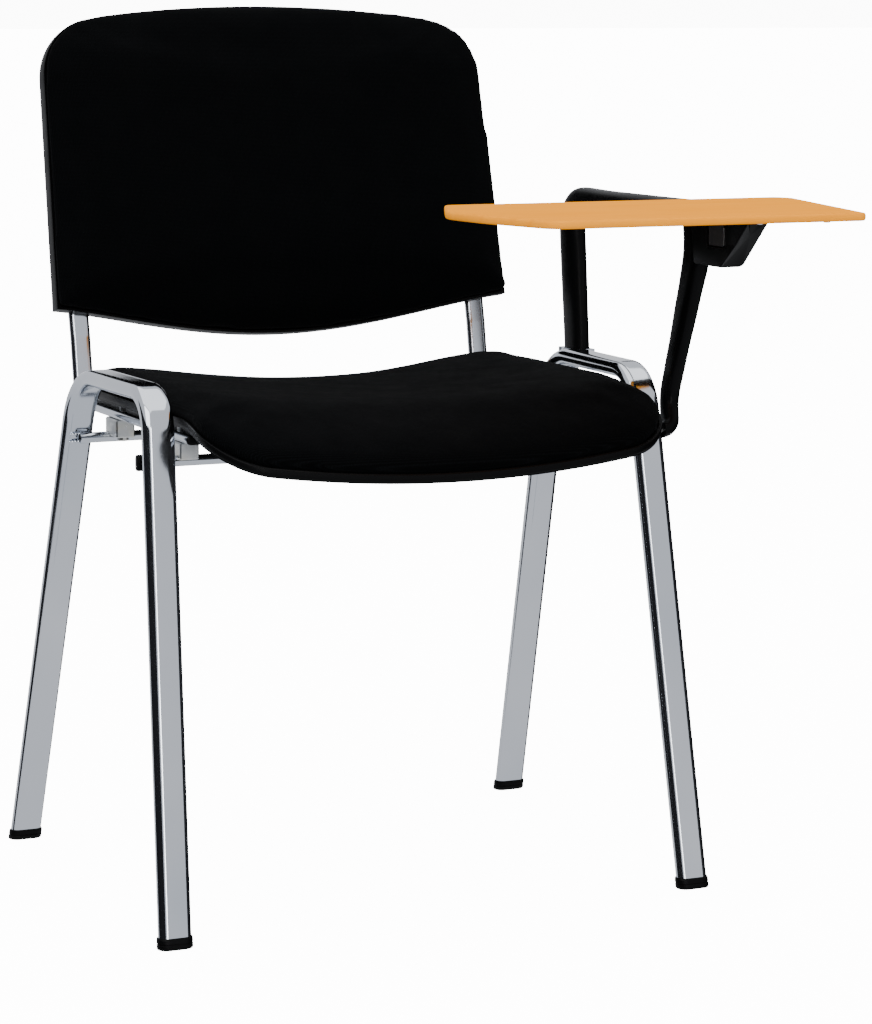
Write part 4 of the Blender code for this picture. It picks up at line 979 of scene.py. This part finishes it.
def stage_plane(name, corners, colour, glow=0.0):
    mesh = bpy.data.meshes.new(name)
    mesh.from_pydata([Vector(corner) for corner in corners], [], [(0, 1, 2, 3)])
    shader = Shader(name, colour, 0.8, 0.0, 0.2)
    shader.bsdf.inputs["Emission Color"].default_value = (1, 1, 1, 1)
    shader.bsdf.inputs["Emission Strength"].default_value = glow
    mesh.materials.append(shader.material)
    thing = bpy.data.objects.new(name, mesh)
    bpy.context.scene.collection.objects.link(thing)
    return thing


def flag(name, azimuth):
    """Dark card out of sight, seen only in the chrome's reflections."""
    angle = math.radians(azimuth)
    middle = Vector((math.sin(angle), -math.cos(angle), 0)) * FLAG_DISTANCE
    across = Vector((math.cos(angle), math.sin(angle), 0)) * FLAG_WIDE / 2
    low, high = Vector((0, 0, FLAG_LOW)), Vector((0, 0, FLAG_HIGH))
    card = stage_plane(name, [middle - across + low, middle + across + low,
                              middle + across + high, middle - across + high],
                       (0.01, 0.01, 0.012))
    card.visible_camera = False
    card.visible_diffuse = False
    card.visible_shadow = False


def make_stage():
    """White floor and backdrop for the camera, a softer world for the chair."""
    half = FLOOR_HALF
    floor = stage_plane("floor", [(-half, -half, 0), (half, -half, 0), (half, half, 0),
                                  (-half, half, 0)], (0.9, 0.9, 0.9), glow=FLOOR_GLOW)
    floor.visible_glossy = False
    floor.visible_diffuse = False
    world = bpy.data.worlds.new("studio")
    bpy.context.scene.world = world
    world.use_nodes = True
    tree = world.node_tree
    soft = tree.nodes["Background"]
    soft.inputs["Color"].default_value = (0.93, 0.95, 1.0, 1.0)
    soft.inputs["Strength"].default_value = WORLD_GLOW
    backdrop = tree.nodes.new("ShaderNodeBackground")
    backdrop.inputs["Strength"].default_value = BACKDROP_GLOW
    pick = tree.nodes.new("ShaderNodeMixShader")
    tree.links.new(tree.nodes.new("ShaderNodeLightPath").outputs["Is Camera Ray"],
                   pick.inputs["Fac"])
    tree.links.new(soft.outputs[0], pick.inputs[1])
    tree.links.new(backdrop.outputs[0], pick.inputs[2])
    tree.links.new(pick.outputs[0], tree.nodes["World Output"].inputs["Surface"])
    area_light("key", (-2.6, -3.4, 4.2), (0, 0, 0.4), (4.5, 4.5), 200)
    area_light("strip", (-0.55, -4.2, 0.9), (0, 0, 0.4), (0.5, 2.8), 40)
    area_light("top", (0.3, 0.4, 4.6), (0, 0, 0.3), (5.0, 5.0), 95)
    for label, azimuths in FLAGS.items():
        for number, azimuth in enumerate(azimuths):
            flag("flag_%s_%d" % (label, number), azimuth)


def make_camera():
    data = bpy.data.cameras.new("camera")
    camera = bpy.data.objects.new("camera", data)
    bpy.context.scene.collection.objects.link(camera)
    bpy.context.scene.camera = camera
    camera.location = Vector(CAMERA_PLACE) + ORIGIN
    camera.rotation_euler = (math.radians(90 - CAMERA_PITCH), 0.0, math.radians(CAMERA_YAW))
    data.lens = CAMERA_LENS
    data.sensor_width = CAMERA_SENSOR
    data.shift_y = CAMERA_SHIFT
    data.clip_start, data.clip_end = CAMERA_CLIP


def paint_frame():
    """Give every CAD node that stays visible its procedural material."""
    slots = {part["node"]: part["material_slot"] for part in frame["record"]["subparts"]}
    for name, node in NODES.items():
        material = "seat_fabric" if slots[name] == "black_fabric" else slots[name]
        node.data.materials.clear()
        node.data.materials.append(MATERIALS[material])


def main():
    paint_frame()
    for label, side in (("left", 1), ("right", -1)):
        make_side_frame(label, side)
        front, front_top, rear_top, rear = leg_points(side)
        make_shoe("front_" + label, front, front_top)
        make_shoe("rear_" + label, rear, rear_top)
    make_cross_tubes()
    make_caps()
    make_welds()
    make_uprights()
    make_back_shell()
    make_seat_shell()
    make_back_cushion()
    make_seat_cushion()
    make_arm()
    make_block()
    make_tablet()
    make_stage()
    make_camera()


main()
